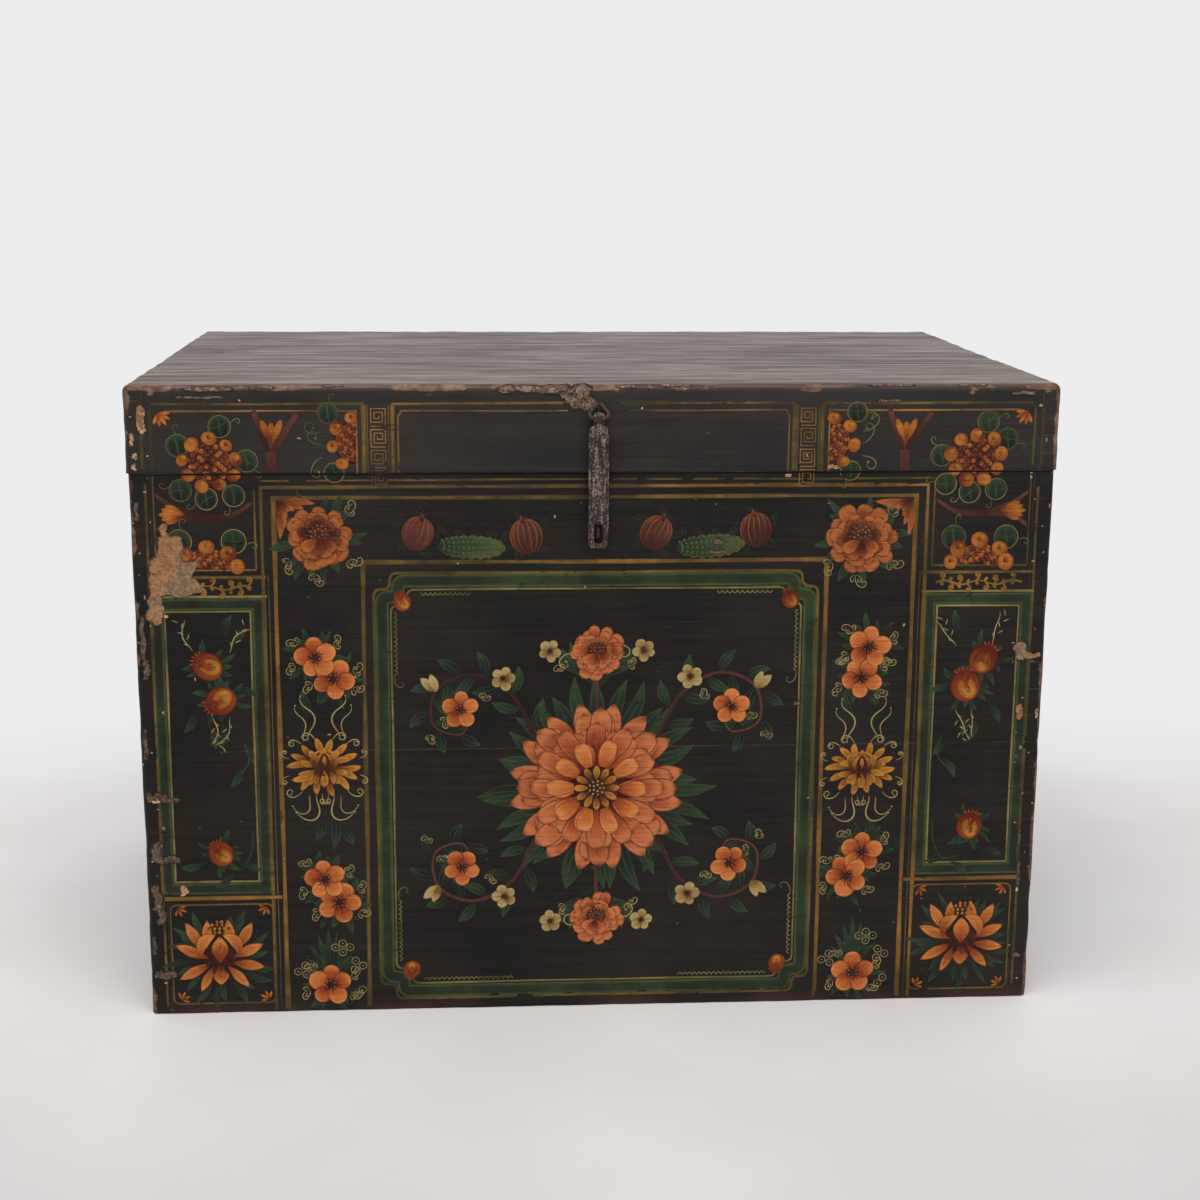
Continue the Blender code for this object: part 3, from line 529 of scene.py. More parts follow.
skinLook = {
    "thickness": 0.0006,
    "coat": 0.0005,            # of the lacquer's own shell
    "spacing": 0.009,          # between points on the flat
    "topSpacing": 0.0034,      # and across the lid's planks
    "warp": 0.0009,            # slow unevenness of the boards
    "dents": 0.0011,           # knocks along the edges
    "dentReach": 0.010,
    "seamDepth": 0.0004,
    "seamWidth": 0.0007,
    "grainDepth": 0.00035,     # furrows along the lid's planks
    "strapRest": (0.022, 0.034),        # half width and half height of the place where the strap knocks
    "restDepth": 0.0003,
    "chestRadius": 0.0055,
    "lidRadius": 0.0065,
    "chestEnds": (0.0008, 0.0005),      # how far the skin stops short of the chest's foot and rim
    "lidFoot": 0.0012,
    "rimRadius": 0.004,        # points crowd within about twice this of the chest's foot and rim
    "runOn": 0.1,              # how far the rounded box runs on past a rim, which keeps the rim square
}
warpField = waveField(9, 0.09, 0.42, 3)
dentField = waveField(26, 0.012, 0.07, 5)
furrowField = waveField(30, 0.006, 0.035, 8)
stretchField = waveField(9, 0.12, 0.5, 9)


def spread(low, high, spacing, near, radius):
    # places from low to high: even on the flat, close together at both ends and at the places named in near
    width = skinLook["seamWidth"]
    edge = radius * np.array([0.0, 0.12, 0.3, 0.5, 0.75, 1.0, 1.5, 2.2])
    close = np.array([-2.2, -1.2, -0.6, 0.0, 0.6, 1.2, 2.2]) * width
    flat = np.arange(low + edge[-1] + spacing * 0.7, high - edge[-1] - spacing * 0.4, spacing)
    for place in near:
        flat = flat[np.abs(flat - place) > 2.5 * width]
    return np.unique(np.concatenate([low + edge, flat, high - edge, *[n + close for n in near]]).round(6))


def boxFaces(xs, ys, zs, withTop):
    # the four upright faces of a box, and its top if wanted, as welded grids facing outwards
    points, faces, count = [], [], 0
    walls = [(xs, ys[0], False), (ys, xs[-1], True), (xs[::-1], ys[-1], False), (ys[::-1], xs[0], True)]
    grids = []
    for run, fixed, turned in walls:
        u, z = np.meshgrid(run, zs, indexing="ij")
        other = np.full_like(u, fixed)
        grids.append(np.stack([other, u, z] if turned else [u, other, z], -1))
    if withTop:
        x, y = np.meshgrid(xs, ys, indexing="ij")
        grids.append(np.stack([x, y, np.full_like(x, zs[-1])], -1))
    for grid in grids:
        faces.append(gridFaces(*grid.shape[:2]) + count)
        points.append(grid.reshape(-1, 3))
        count += len(points[-1])
    points, where = np.unique(np.concatenate(points).round(6), axis=0, return_inverse=True)
    return points, where.reshape(-1)[np.concatenate(faces)]


def roundBox(points, low, high, radius):
    # each point goes to its nearest point on a core box, then one radius out along that line
    core = np.clip(points, low + radius, high - radius)
    out = points - core
    normal = out / np.linalg.norm(out, axis=1)[:, None]
    return core + normal * radius, normal


def unevenness(points, low, high):
    # how far the skin stands out: slow warp of the boards, and knocks near the upright corners and the edges
    near = np.minimum(high - points, points - low)
    corner = np.maximum(near[:, 0], near[:, 1])
    level = np.maximum(near[:, 2], np.minimum(near[:, 0], near[:, 1]))
    edge = np.exp(-(np.minimum(corner, level) / skinLook["dentReach"]) ** 2)
    knock = np.minimum(dentField(points) * 2.2, 0.25)
    return skinLook["warp"] * (0.5 + 0.5 * warpField(points)) + skinLook["dents"] * edge * knock


def seamGroove(distance):
    # a soft groove where two boards meet
    return -skinLook["seamDepth"] * np.exp(-(distance / skinLook["seamWidth"]) ** 2)


def chestRise(points):
    # uneven all over, grooved along the seam, and beaten flat where the strap's end knocks on the front
    halfWidth, halfHeight = skinLook["strapRest"]
    across, up = points[:, 0] / halfWidth, (points[:, 2] - strapFoot) / halfHeight
    rest = np.exp(-(across ** 2 + up ** 2) ** 2) * (points[:, 1] < 0)
    groove = seamGroove(points[:, 2] - seamHeight) * (0.45 + 0.55 * stretchField(points))
    return unevenness(points, chestLow, chestHigh) * (1 - rest) - skinLook["restDepth"] * rest + groove


def lidRise(points):
    # uneven all over
    return unevenness(points, lidLow, lidHigh)


skinRise = {"chest": chestRise, "lid": lidRise}


def addSkin(part, points, normal, rise, faces, finish):
    # points moved out along their normals, with a shell's thickness inwards
    points = points + normal * rise[:, None]
    skin = addPiece(part + "Lacquer", points, [faces], part, finish)
    wall = skin.modifiers.new("wall", "SOLIDIFY")
    wall.thickness = skinLook["coat"]
    wall.offset = -1.0


def chestSkin():
    # the chest's box with rounded corners and square rims
    look = skinLook
    grow = np.array([look["thickness"], look["thickness"], 0.0])
    foot, rim = look["chestEnds"]
    low, high = chestLow - grow + [0, 0, foot], chestHigh + grow - [0, 0, rim]
    radius = look["chestRadius"]
    xs, ys = [spread(low[i], high[i], look["spacing"], (), radius) for i in (0, 1)]
    zs = spread(low[2], high[2], look["spacing"], (seamHeight,), look["rimRadius"])
    points, faces = boxFaces(xs, ys, zs, False)
    tall = np.array([0, 0, look["runOn"]])
    rounded, normal = roundBox(points, low - tall, high + tall, radius)
    addSkin("chest", rounded, normal, skinRise["chest"](rounded), faces, chestFinish)


def lidSkin():
    # the lid's box with rounded corners and upper edges, furrowed and grooved along its planks
    look = skinLook
    grow = np.array([look["thickness"]] * 3)
    low, high = lidLow - grow + [0, 0, look["lidFoot"]], lidHigh + grow
    radius = look["lidRadius"]
    xs = spread(low[0], high[0], look["spacing"], (), radius)
    ys = spread(low[1], high[1], look["topSpacing"], plankSeams, radius)
    zs = spread(low[2], high[2], look["spacing"], (), radius)
    points, faces = boxFaces(xs, ys, zs, True)
    rounded, normal = roundBox(points, low - [0, 0, look["runOn"]], high, radius)
    rise = skinRise["lid"](rounded)
    furrows = furrowField(rounded * [0.03, 1.0, 1.0]) + 0.5 * furrowField(rounded * [0.09, 1.7, 1.0] + 1.0)
    top = np.clip(normal[:, 2], 0, 1) ** 2
    rise += top * look["grainDepth"] * furrows
    for seam in plankSeams:
        rise += top * 1.6 * seamGroove(rounded[:, 1] - seam)
    addSkin("lid", rounded, normal, rise, faces, lidFinish)


chestSkin()
lidSkin()
print("lacquer skins")


# Finishes on the CAD pieces, and a hand-forged strap over the plain one

def dress(names, finish):
    # one finish on the CAD pieces named
    for name in names:
        for slot in nodes[name].material_slots:
            slot.material = finish


def dressNodes():
    # bare wood with its grain along each board, bamboo pins and rusty wire
    # painted shade reaches in this far from the gap under the lid, on the walls' rims and the lid's rails
    reach = woodLook["gapShadeReach"]
    rim = float(chestHigh[2]) - reach
    foot = float(lidLow[2]) + reach
    dress(planks("front", "back"), woodFinish("wallWood", "x", gapShadeAbove=rim))
    dress(planks("left", "right"), woodFinish("endWood", "y", gapShadeAbove=rim))
    dress([name for name in nodes if name.startswith("bottom_plank")], woodFinish("bottomWood", "x"))
    dress([name for name in nodes if "batten" in name], woodFinish("battenWood", "y"))
    dress(("lid_front_rail", "lid_back_rail"), woodFinish("lidRailWood", "x", gapShadeBelow=foot))
    dress(("lid_left_rail", "lid_right_rail"), woodFinish("lidEndWood", "y", gapShadeBelow=foot))
    dress([name for name in nodes if name.startswith("lid_plank")], woodFinish("lidTopWood", "x"))
    dress([name for name in nodes if "dowel" in name or "peg" in name], bambooFinish())
    wires = [name for name in nodes if "hinge" in name or name in ("hasp_loop", "padlock_staple")]
    dress(wires, ironFinish("wireIron", 0.8))


strapLook = {
    "width": 0.0186,
    "thickness": 0.0032,
    "slot": (0.0080, 0.0180),       # width and height of its opening
    "slotRise": 0.0135,             # from the strap's lower end to the middle of the opening
    "plane": -0.290,                # y of its middle
    "pinDrop": 0.0048,              # from the top of its solid down to the pin
    "plateDrop": 0.0075,            # and from the pin to the plate's upper end
    "pin": 0.0022,                  # radius of the pin
    "tongue": (0.0094, 0.0026),     # width and thickness of the rolled tongue
    "hammer": 0.00035,              # depth of the hammer marks
    "pits": 0.00018,
    "bow": 0.0006,                  # how far its edges stray
}
hammerField = waveField(14, 0.007, 0.025, 21)
pitField = waveField(40, 0.0012, 0.005, 22)
strayField = waveField(10, 0.02, 0.09, 23)


def squareLoop(half, turn, power):
    # a rounded rectangle: sine and cosine raised to a small power
    bend = [np.sign(f) * np.abs(f) ** (2 / power) for f in (np.cos(turn), np.sin(turn))]
    return np.stack([half[0] * bend[0], half[1] * bend[1]], -1)


def haspPlate(low, high):
    # loops from the outer edge to the opening, over the front and back again behind
    look = strapLook
    turn = np.linspace(0, 2 * np.pi, 180, endpoint=False)
    middle = np.array([0.0, (low + high) / 2])
    opening = np.array([0.0, low + look["slotRise"]])
    outer = squareLoop((look["width"] / 2, (high - low) / 2), turn, 9.0) + middle
    inner = squareLoop((look["slot"][0] / 2, look["slot"][1] / 2), turn, 5.0) + opening
    edge = np.array([0.0, 0.012, 0.05, *np.linspace(0.1, 0.92, 15), 0.97, 1.0])
    share = np.concatenate([edge, edge[::-1]])
    rounding = np.sqrt(1 - np.clip(1 - np.minimum(edge, 1 - edge) / 0.05, 0, 1) ** 2) * 0.45 + 0.55
    depth = look["thickness"] / 2 * np.concatenate([rounding, -rounding[::-1]])
    flat = outer[:, None] * (1 - share)[None, :, None] + inner[:, None] * share[None, :, None]
    shape = flat.shape[:2]
    points = np.stack([flat[..., 0], look["plane"] - np.broadcast_to(depth, shape), flat[..., 1]], -1)
    spots = (points * [1.0, 0.0, 1.0]).reshape(-1, 3)
    marks = look["hammer"] * hammerField(spots) * 2 + look["pits"] * pitField(spots) * 3
    points[..., 1] -= np.where(depth > 0, 1.0, -0.2) * marks.reshape(shape)        # smoother behind
    points[..., 0] += look["bow"] * strayField(spots * [0, 0, 1]).reshape(shape)
    faces = gridFaces(*shape, True, True)[:, ::-1]
    piece = addPiece("haspPlate", points.reshape(-1, 3), [faces], "hasp", strapFinish)
    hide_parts("hasp_strap")


def haspEye(top, pivot):
    # a flat tongue led up from the plate and rolled forward round the pin:
    # a rounded bar swept along that path
    y = strapLook["plane"]
    wide, thick = strapLook["tongue"]
    radius = strapLook["pin"] + thick / 2 + 0.0002
    turn = np.linspace(-np.pi / 2 + 0.35, np.pi * 1.42, 40)
    roll = np.stack([y + radius * np.cos(turn), pivot + radius * np.sin(turn)], -1)
    lead = np.stack([np.linspace(y, roll[0, 0], 8), np.linspace(top - 0.014, roll[0, 1], 8)], -1)[:-1]
    path = np.concatenate([lead, roll])
    tangent = np.gradient(path, axis=0)
    tangent /= np.linalg.norm(tangent, axis=1)[:, None]
    normal = np.stack([-tangent[:, 1], tangent[:, 0]], -1)
    section = squareLoop((wide / 2, thick / 2), np.linspace(0, 2 * np.pi, 20, endpoint=False), 5.0)
    flare = 1 + 0.55 * np.exp(-np.arange(len(path)) / 3.0)
    x = section[:, 0][None] * flare[:, None]
    yz = path[:, None] + normal[:, None] * section[:, 1][None, :, None]
    points = np.concatenate([x[..., None], yz], -1)
    points[..., 1] += strapLook["pits"] * pitField(points.reshape(-1, 3)).reshape(points.shape[:2]) * 2
    rows, columns = points.shape[:2]
    ends = np.stack([np.arange(columns)[::-1], (rows - 1) * columns + np.arange(columns)])
    faces = gridFaces(rows, columns, False, True)[:, ::-1]
    piece = addPiece("haspEye", points.reshape(-1, 3), [faces, ends], "hasp", strapFinish)
    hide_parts("hasp_strap")


strapFinish = ironFinish("strapIron", 0.1)
dressNodes()
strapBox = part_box("hasp_strap")
haspPivot = float(strapBox[1].z) - strapLook["pinDrop"]
plateTop = haspPivot - strapLook["plateDrop"]
haspPlate(float(strapBox[0].z), plateTop)
haspEye(plateTop, haspPivot)
print("iron")


# Brush: every painted mark is a thin closed slab of paint that follows the skin

brushLook = {
    "layer": 0.030,            # rise of each coat over the one below, in mm
    "crown": 0.03,             # how much thicker a stroke is along its middle
    "sink": 0.30,              # how far its underside reaches into the lacquer
    "wobble": 0.28,            # unsteadiness of a long line
    "seamGap": 1.1,            # bare strip each side of the gap under the lid
}
fronts = {
    part: (low - skinLook["thickness"], high + skinLook["thickness"], skinLook[part + "Radius"])
    for part, low, high in (("chest", chestLow, chestHigh), ("lid", lidLow, lidHigh))
}
lidSeam = float(chestHigh[2] + lidLow[2]) / 2 / mm


def onFront(across, up, rise, part):
    # place on a front, measured along its surface round the corners and over the top edge, all in metres
    low, high, radius = fronts[part]
    side = np.sign(across)
    over = np.abs(across) - (high[0] - radius)
    turn = np.clip(over / radius, 0.0, np.pi / 2)
    past = np.maximum(over - radius * np.pi / 2, 0.0)
    crest = (up - (high[2] - radius)) / radius if part == "lid" else np.zeros_like(up)
    lean = np.clip(crest, 0.0, np.pi / 2)
    beyond = np.maximum(crest - np.pi / 2, 0.0) * radius
    reach = radius + rise
    x = side * (np.abs(across) - np.maximum(over, 0.0) + reach * np.sin(turn) * np.cos(lean))
    y = low[1] + radius - reach * np.cos(turn) * np.cos(lean) + past + beyond
    z = np.where(lean > 0, high[2] - radius + reach * np.sin(lean), up)
    return np.stack([x, y, z], -1)


class Brush:
    # gathers the marks of each paint on each body
    def __init__(self):
        self.marks = {}

    def lay(self, paint, path, low, high=None, layer=4, closed=False, across=5):
        # a strip along a path of (x, z) in mm: low and high are its reach on either side,
        # and sharp turns are mitred
        path = np.asarray(path, float)
        count = len(path)
        low = np.broadcast_to(np.asarray(low, float), count)
        high = low if high is None else np.broadcast_to(np.asarray(high, float), count)
        ahead = np.roll(path, -1, 0) - path
        if not closed:
            ahead[-1] = ahead[-2]
        ahead = ahead / np.maximum(np.linalg.norm(ahead, axis=1), 1e-9)[:, None]
        behind = np.roll(ahead, 1, 0)
        if not closed:
            behind[0] = ahead[0]
        tangent = ahead + behind
        tangent = tangent / np.maximum(np.linalg.norm(tangent, axis=1), 1e-9)[:, None]
        mitre = 1 / np.clip((tangent * ahead).sum(1), 0.6, 1.0)
        normal = np.stack([-tangent[:, 1], tangent[:, 0]], -1) * mitre[:, None]
        v = np.linspace(-1, 1, across)
        reach = np.where(v < 0, low[:, None], high[:, None]) * v
        flat = path[:, None] + normal[:, None] * reach[..., None]
        ring = np.concatenate([flat, flat[:, [-1, 0]]], 1)
        top = brushLook["layer"] * layer + brushLook["crown"] * (1 - v ** 2)
        rise = np.concatenate([top, [-brushLook["sink"]] * 2]) + np.zeros((count, 1))
        marks = np.empty((*ring.shape[:2], 3))
        marks[..., 0] = np.linspace(0, 1, count)[:, None]
        marks[..., 1] = np.concatenate([v, [1, -1]])
        marks[..., 2] = rng.random()
        gap = brushLook["seamGap"]
        if ring[..., 1].min() < lidSeam - gap:
            self.add(paint, "chest", ring, rise, marks, closed, (-1e3, lidSeam - gap))
        if ring[..., 1].max() > lidSeam + gap:
            self.add(paint, "lid", ring, rise, marks, closed, (lidSeam + gap, 1e3))

    def add(self, paint, part, ring, rise, marks, closed, limits):
        # marks that cross the gap under the lid are kept to one side of it
        up = np.clip(ring[..., 1], *limits)
        base = onFront(ring[..., 0] * mm, up * mm, np.zeros_like(up), part).reshape(-1, 3)
        skin = skinRise[part](base).reshape(up.shape)
        points = onFront(ring[..., 0] * mm, up * mm, rise * mm + skin, part)
        rows, columns = ring.shape[:2]
        quads = gridFaces(rows, columns, closed, True)
        caps = np.arange(columns)
        ends = np.empty((0, columns), int) if closed else np.stack([caps, (rows - 1) * columns + caps[::-1]])
        laid = self.marks.setdefault((paint, part), [])
        laid.append((points.reshape(-1, 3), quads, ends, marks.reshape(-1, 3)))

    def finish(self):
        # one piece for each paint on each body
        for (paint, part), laid in self.marks.items():
            starts = np.cumsum([0] + [len(points) for points, *_ in laid])
            points, marks = [np.concatenate([mark[i] for mark in laid]) for i in (0, 3)]
            faceSets = [np.concatenate([mark[1] + start for mark, start in zip(laid, starts)])]
            for corners in sorted({mark[2].shape[1] for mark in laid}):
                ends = [mark[2] + start for mark, start in zip(laid, starts) if mark[2].shape[1] == corners]
                faceSets.append(np.concatenate(ends))
            faceSets = [faces for faces in faceSets if len(faces)]
            name = f"{part}{paint[0].upper()}{paint[1:]}"
            addPiece(name, points, faceSets, part, paints[paint], marks, False)
            print(" ", name, len(laid), "marks", sum(len(faces) for faces in faceSets), "faces")


brush = Brush()


# Strokes

def heading(angle):
    # one step in the direction of an angle in degrees
    return np.array([math.cos(math.radians(angle)), math.sin(math.radians(angle))])


def away(x, z, reach, angle):
    # the place at a reach from (x, z), in the direction of an angle
    return np.array([x, z]) + reach * heading(angle)


def facing(angle, side):
    # an angle drawn for the right half, or its mirror image on the left half
    return angle if side > 0 else 180 - angle


def evenly(points, step, closed):
    # points at even steps along the straight runs between corners, back to the first corner if closed
    points = np.asarray(points, float)
    ends = np.concatenate([points, points[:1]]) if closed else points
    runs = np.diff(ends, axis=0)
    counts = np.maximum(2, (np.linalg.norm(runs, axis=1) / step).astype(int))
    path = [p + r * np.linspace(0, 1, n, endpoint=False)[:, None] for p, r, n in zip(ends, runs, counts)]
    return np.concatenate(path if closed else [*path, points[-1:]])


def smoothPath(points, count):
    # a curve through points: each stretch is the cubic whose slopes are half the step between its neighbours
    points = np.asarray(points, float)
    t = np.linspace(0, len(points) - 1, count)
    i = np.minimum(t.astype(int), len(points) - 2)
    f = (t - i)[:, None]
    a, b, c, d = [points[np.clip(i + k, 0, len(points) - 1)] for k in (-1, 0, 1, 2)]
    return b + 0.5 * f * (c - a + f * (2 * a - 5 * b + 4 * c - d + f * (3 * (b - c) + d - a)))


def line(points, width, paint="gilt", layer=1.0, closed=False, step=9.0):
    # a ruled line by hand: straight runs between points, with a slow sway and an uneven width
    path = evenly(points, step, closed)
    s = np.arange(len(path)) * step
    phase = rng.random(4) * 2 * np.pi
    sway = np.sin(s / 61 + phase[0]) + 0.6 * np.sin(s / 23 + phase[1])
    bulk = 1 + 0.13 * np.sin(s / 37 + phase[2]) + 0.09 * np.sin(s / 14 + phase[3])
    path = path + brushLook["wobble"] * np.stack([np.roll(sway, 3), sway], -1) * 0.6
    brush.lay(paint, path, width / 2 * bulk, layer=layer, closed=closed)


def disc(paint, x, z, radius, layer, angle=0.0, squash=1.0, count=12, half=False):
    # a round dab, or its half on the left of a straight edge: the half width follows a circle along the strip
    s = -np.cos(np.linspace(0, np.pi, count))
    path = np.array([x, z]) + np.outer(s * radius, heading(angle))
    width = np.maximum(np.sqrt(1 - s ** 2), 0.03 if half else 0.05) * radius * squash
    brush.lay(paint, path, 0.2 if half else width, width, layer=layer)


def petal(paint, x, z, angle, length, width, layer, belly=1.0, blunt=0.7, sway=0.0, count=13):
    # a petal or leaf: its half width is a power of the sine along it,
    # belly moves the widest place and blunt rounds it
    u = np.linspace(0, 1, count)
    ahead = heading(angle)
    left = np.array([-ahead[1], ahead[0]])
    path = np.array([x, z]) + np.outer(u * length, ahead) + np.outer(np.sin(np.pi * u) * sway * length, left)
    shape = np.maximum(np.sin(np.pi * u ** belly), 0.0) ** blunt
    brush.lay(paint, path, np.maximum(shape, 0.04) * width / 2, layer=layer)


def reachTo(paint, start, end, width, layer, belly, blunt, sway):
    # a petal from its root to its tip
    step = np.subtract(end, start)
    angle = math.degrees(math.atan2(step[1], step[0]))
    petal(paint, *start, angle, float(np.hypot(*step)), width, layer, belly, blunt, sway)


def curl(paint, x, z, angle, length, turns, width, layer, sway=0.0, bead=0.0):
    # a tendril: its direction turns faster and faster along it, so it runs out straight and ends in a spiral
    s = np.linspace(0, 1, 30)
    turn = np.radians(angle + 360 * turns * s ** 2.3 + 57 * sway * np.sin(2 * np.pi * s))
    steps = np.stack([np.cos(turn), np.sin(turn)], -1) * length / len(s)
    path = np.array([x, z]) + np.cumsum(steps, axis=0)
    brush.lay(paint, path, width / 2 * (0.35 + 0.65 * np.sin(np.pi * s ** 0.7)), layer=layer, across=3)
    if bead:
        disc(paint, *path[-1], bead, layer + 1, count=8)


def stem(paint, points, width, layer, taper, count):
    # a branch through points, thinning towards its end
    path = smoothPath(points, count)
    brush.lay(paint, path, width / 2 * np.linspace(1.0, taper, count), layer=layer)


def ring(paint, x, z, radius, width, layer, count=18):
    # a thin circle
    turn = np.linspace(0, 2 * np.pi, count, endpoint=False)
    path = np.stack([x + radius * np.cos(turn), z + radius * np.sin(turn)], -1)
    brush.lay(paint, path, width / 2, layer=layer, closed=True, across=3)


def dots(paint, x, z, radius, count, size, layer, start=0.0):
    # small dabs evenly round a circle
    for angle in start + np.arange(count) * 360 / count:
        disc(paint, *away(x, z, radius, angle), size, layer, count=7)


def flake(paint, x, z, wide, tall, layer=9, count=34):
    # a ragged patch where the lacquer is gone:
    # a square-shouldered oval along its longer side, with uneven edges
    s = -np.cos(np.linspace(0, np.pi, count))
    short = min(wide, tall)
    bend = 0.15 * short * np.sin(5 * s + rng.random() * 6)
    path = np.stack([x + s * wide, z + bend] if wide >= tall else [x + bend, z + s * tall], -1)
    oval = np.maximum(1 - s ** 10, 0.02) * short
    jags = [np.convolve(rng.random(count + 2), (0.3, 0.4, 0.3), "valid") for _ in range(2)]
    low, high = [oval * (0.25 + 0.95 * jag) for jag in jags]
    brush.lay(paint, path, low, high, layer=layer)


# Flowers, fruit and borders that repeat

def foliage(x, z, radius, angles, length, width, layer=2):
    # leaves that show round a flower, a long one and a short one at each angle
    for angle in angles:
        for share, turn in ((1.0, -9), (0.72, 14)):
            lean = angle + turn + rng.uniform(-10, 10)
            reach = (radius * 0.5 + length * rng.uniform(0.75, 1.2)) * share
            petal("leaf", *away(x, z, radius * 0.5, lean), lean, reach, width * rng.uniform(0.6, 1.0),
                  layer + rng.random(), 1.2, 0.95, rng.uniform(-0.13, 0.13))


def sprig(x, z, angle, size, paint="cream"):
    # a knot of small curls
    for turn, share, turns in ((0, 1.0, 1.25), (75, 0.62, -1.15), (-60, 0.45, 1.0)):
        lean = angle + turn + rng.uniform(-12, 12)
        curl(paint, x, z, lean, size * share, turns * rng.uniform(0.85, 1.1), 0.8, 3.5, 0.1)


def blossom(x, z, radius, turn, layer, paint="apricot"):
    # five round petals round a maroon heart with short rays and a ring of stamens
    for k in range(5):
        angle = turn + 72 * k + rng.uniform(-5, 5)
        place = away(x, z, radius * rng.uniform(0.53, 0.59), angle)
        disc(paint, *place, radius * rng.uniform(0.39, 0.47), layer + k * 1.3, angle, rng.uniform(0.92, 1.10))
    for k in range(15):
        reach = radius * rng.uniform(0.26, 0.46)
        petal("maroon", x, z, turn + 24 * k, reach, radius * 0.085, layer + 8 + 0.1 * k, 0.7, 0.8, count=7)
    disc("maroon", x, z, radius * 0.17, layer + 10, count=9)
    dots("ivory", x, z, radius * 0.20, 6, radius * 0.026, layer + 11, turn)


def peony(x, z, radius, turn=90.0, layer=6, paint="brick", heart="russet"):
    # rings of ruffled petals, darker inwards, round a maroon heart full of stamens,
    # with a cup of petals in front
    disc("maroon", x, z, radius * 0.75, layer - 1, 0, 1.0, 16)
    for share, count, width, lift in ((1.0, 12, 0.50, 0), (0.84, 11, 0.42, 14), (0.64, 10, 0.34, 26)):
        for k in rng.permutation(count):
            angle = turn + 360 / count * (k + 0.5 * (lift == 14)) + rng.uniform(-10, 10)
            start = away(x, z, radius * share * 0.20, angle)
            length = radius * share * 0.80 * rng.uniform(0.78, 1.10)
            petal(heart if lift == 26 else paint, *start, angle, length,
                  radius * width * rng.uniform(0.75, 1.20), layer + lift + rng.random() * count,
                  1.9, 0.50, rng.uniform(-0.08, 0.08))
    disc("maroon", x, z + radius * 0.10, radius * 0.33, layer + 37, 0, 0.85)
    for angle in np.arange(0, 360, 26):
        length = radius * rng.uniform(0.28, 0.42)
        petal("rust", x, z + radius * 0.08, angle, length, radius * 0.07, layer + 38, count=7)
    for reach, count in ((0.22, 10), (0.11, 6)):
        start = rng.uniform(0, 40)
        dots("gold", x, z + radius * 0.14, radius * reach, count, radius * 0.024, layer + 39, start)
    cup = ((-142, 0.56, 0.36), (-38, 0.54, 0.34), (-112, 0.62, 0.36), (-66, 0.58, 0.38), (-90, 0.48, 0.34))
    for angle, length, width in cup:
        start = away(x, z + radius * 0.02, radius * 0.06, angle)
        petal(heart if angle == -90 else paint, *start, angle, radius * length, radius * width,
              layer + 40 + rng.random() * 3, 1.6, 0.5)


lotusPetals = (
    # root, tip (as shares of the flower's radius) and width, back petals first
    ((-0.30, 0.25), (-0.27, 0.95), 0.30), ((0.30, 0.25), (0.18, 0.97), 0.30),
    ((-0.36, 0.20), (-0.76, 0.90), 0.34), ((0.40, 0.25), (0.74, 0.88), 0.34),
    ((-0.25, 0.02), (-1.00, 0.36), 0.34), ((0.30, 0.05), (0.98, 0.36), 0.34),
    ((-0.20, -0.08), (-0.94, -0.48), 0.33), ((0.25, -0.08), (1.00, -0.20), 0.34),
    ((-0.15, -0.15), (-0.46, -0.78), 0.28), ((0.16, -0.15), (0.64, -0.68), 0.30),
    ((-0.42, 0.06), (-0.08, 0.60), 0.36), ((0.42, 0.06), (0.05, 0.60), 0.36),
    ((0.0, -0.10), (0.0, -0.62), 0.50), ((0.0, -0.10), (0.0, 0.56), 0.52),
)


def lotus(x, z, radius, layer=5):
    # the petals above on a bed of leaves, short dark strokes at their roots and rows of stamens over them
    centre = np.array([x, z])
    foliage(x, z, radius, (40, 62, 118, 142, 178, 205, 240, 268, 300, 335, 2), radius * 0.30, radius * 0.17)
    disc("maroon", x, z + radius * 0.05, radius * 0.36, layer - 1, 0, 0.8)
    for k, (root, tip, width) in enumerate(lotusPetals):
        bow = 0.10 * np.sign(root[0] + 1e-6) * (k in (10, 11))
        ends = [centre + radius * np.array(end) for end in (root, tip)]
        reachTo("lotus", *ends, radius * width * 0.77, layer + 1.5 * k, 1.1, 0.95, -bow * 2.4)
    for k, (dx, dz) in enumerate(((0.0, -0.14), (-0.2, -0.06), (0.2, -0.06), (-0.1, -0.2), (0.1, -0.2))):
        place = (x + dx * radius, z + dz * radius + 3)
        petal("maroon", *place, -90 + dx * 160, radius * 0.22, radius * 0.10, layer + 23 + k, 0.8, 0.7)
    for level, count in ((0.66, 3), (0.75, 5), (0.84, 4), (0.91, 2)):
        for k in range(count):
            place = (x + (k - (count - 1) / 2) * radius * 0.11, z + level * radius)
            disc("gold", *place, radius * 0.04, layer + 24, count=7)


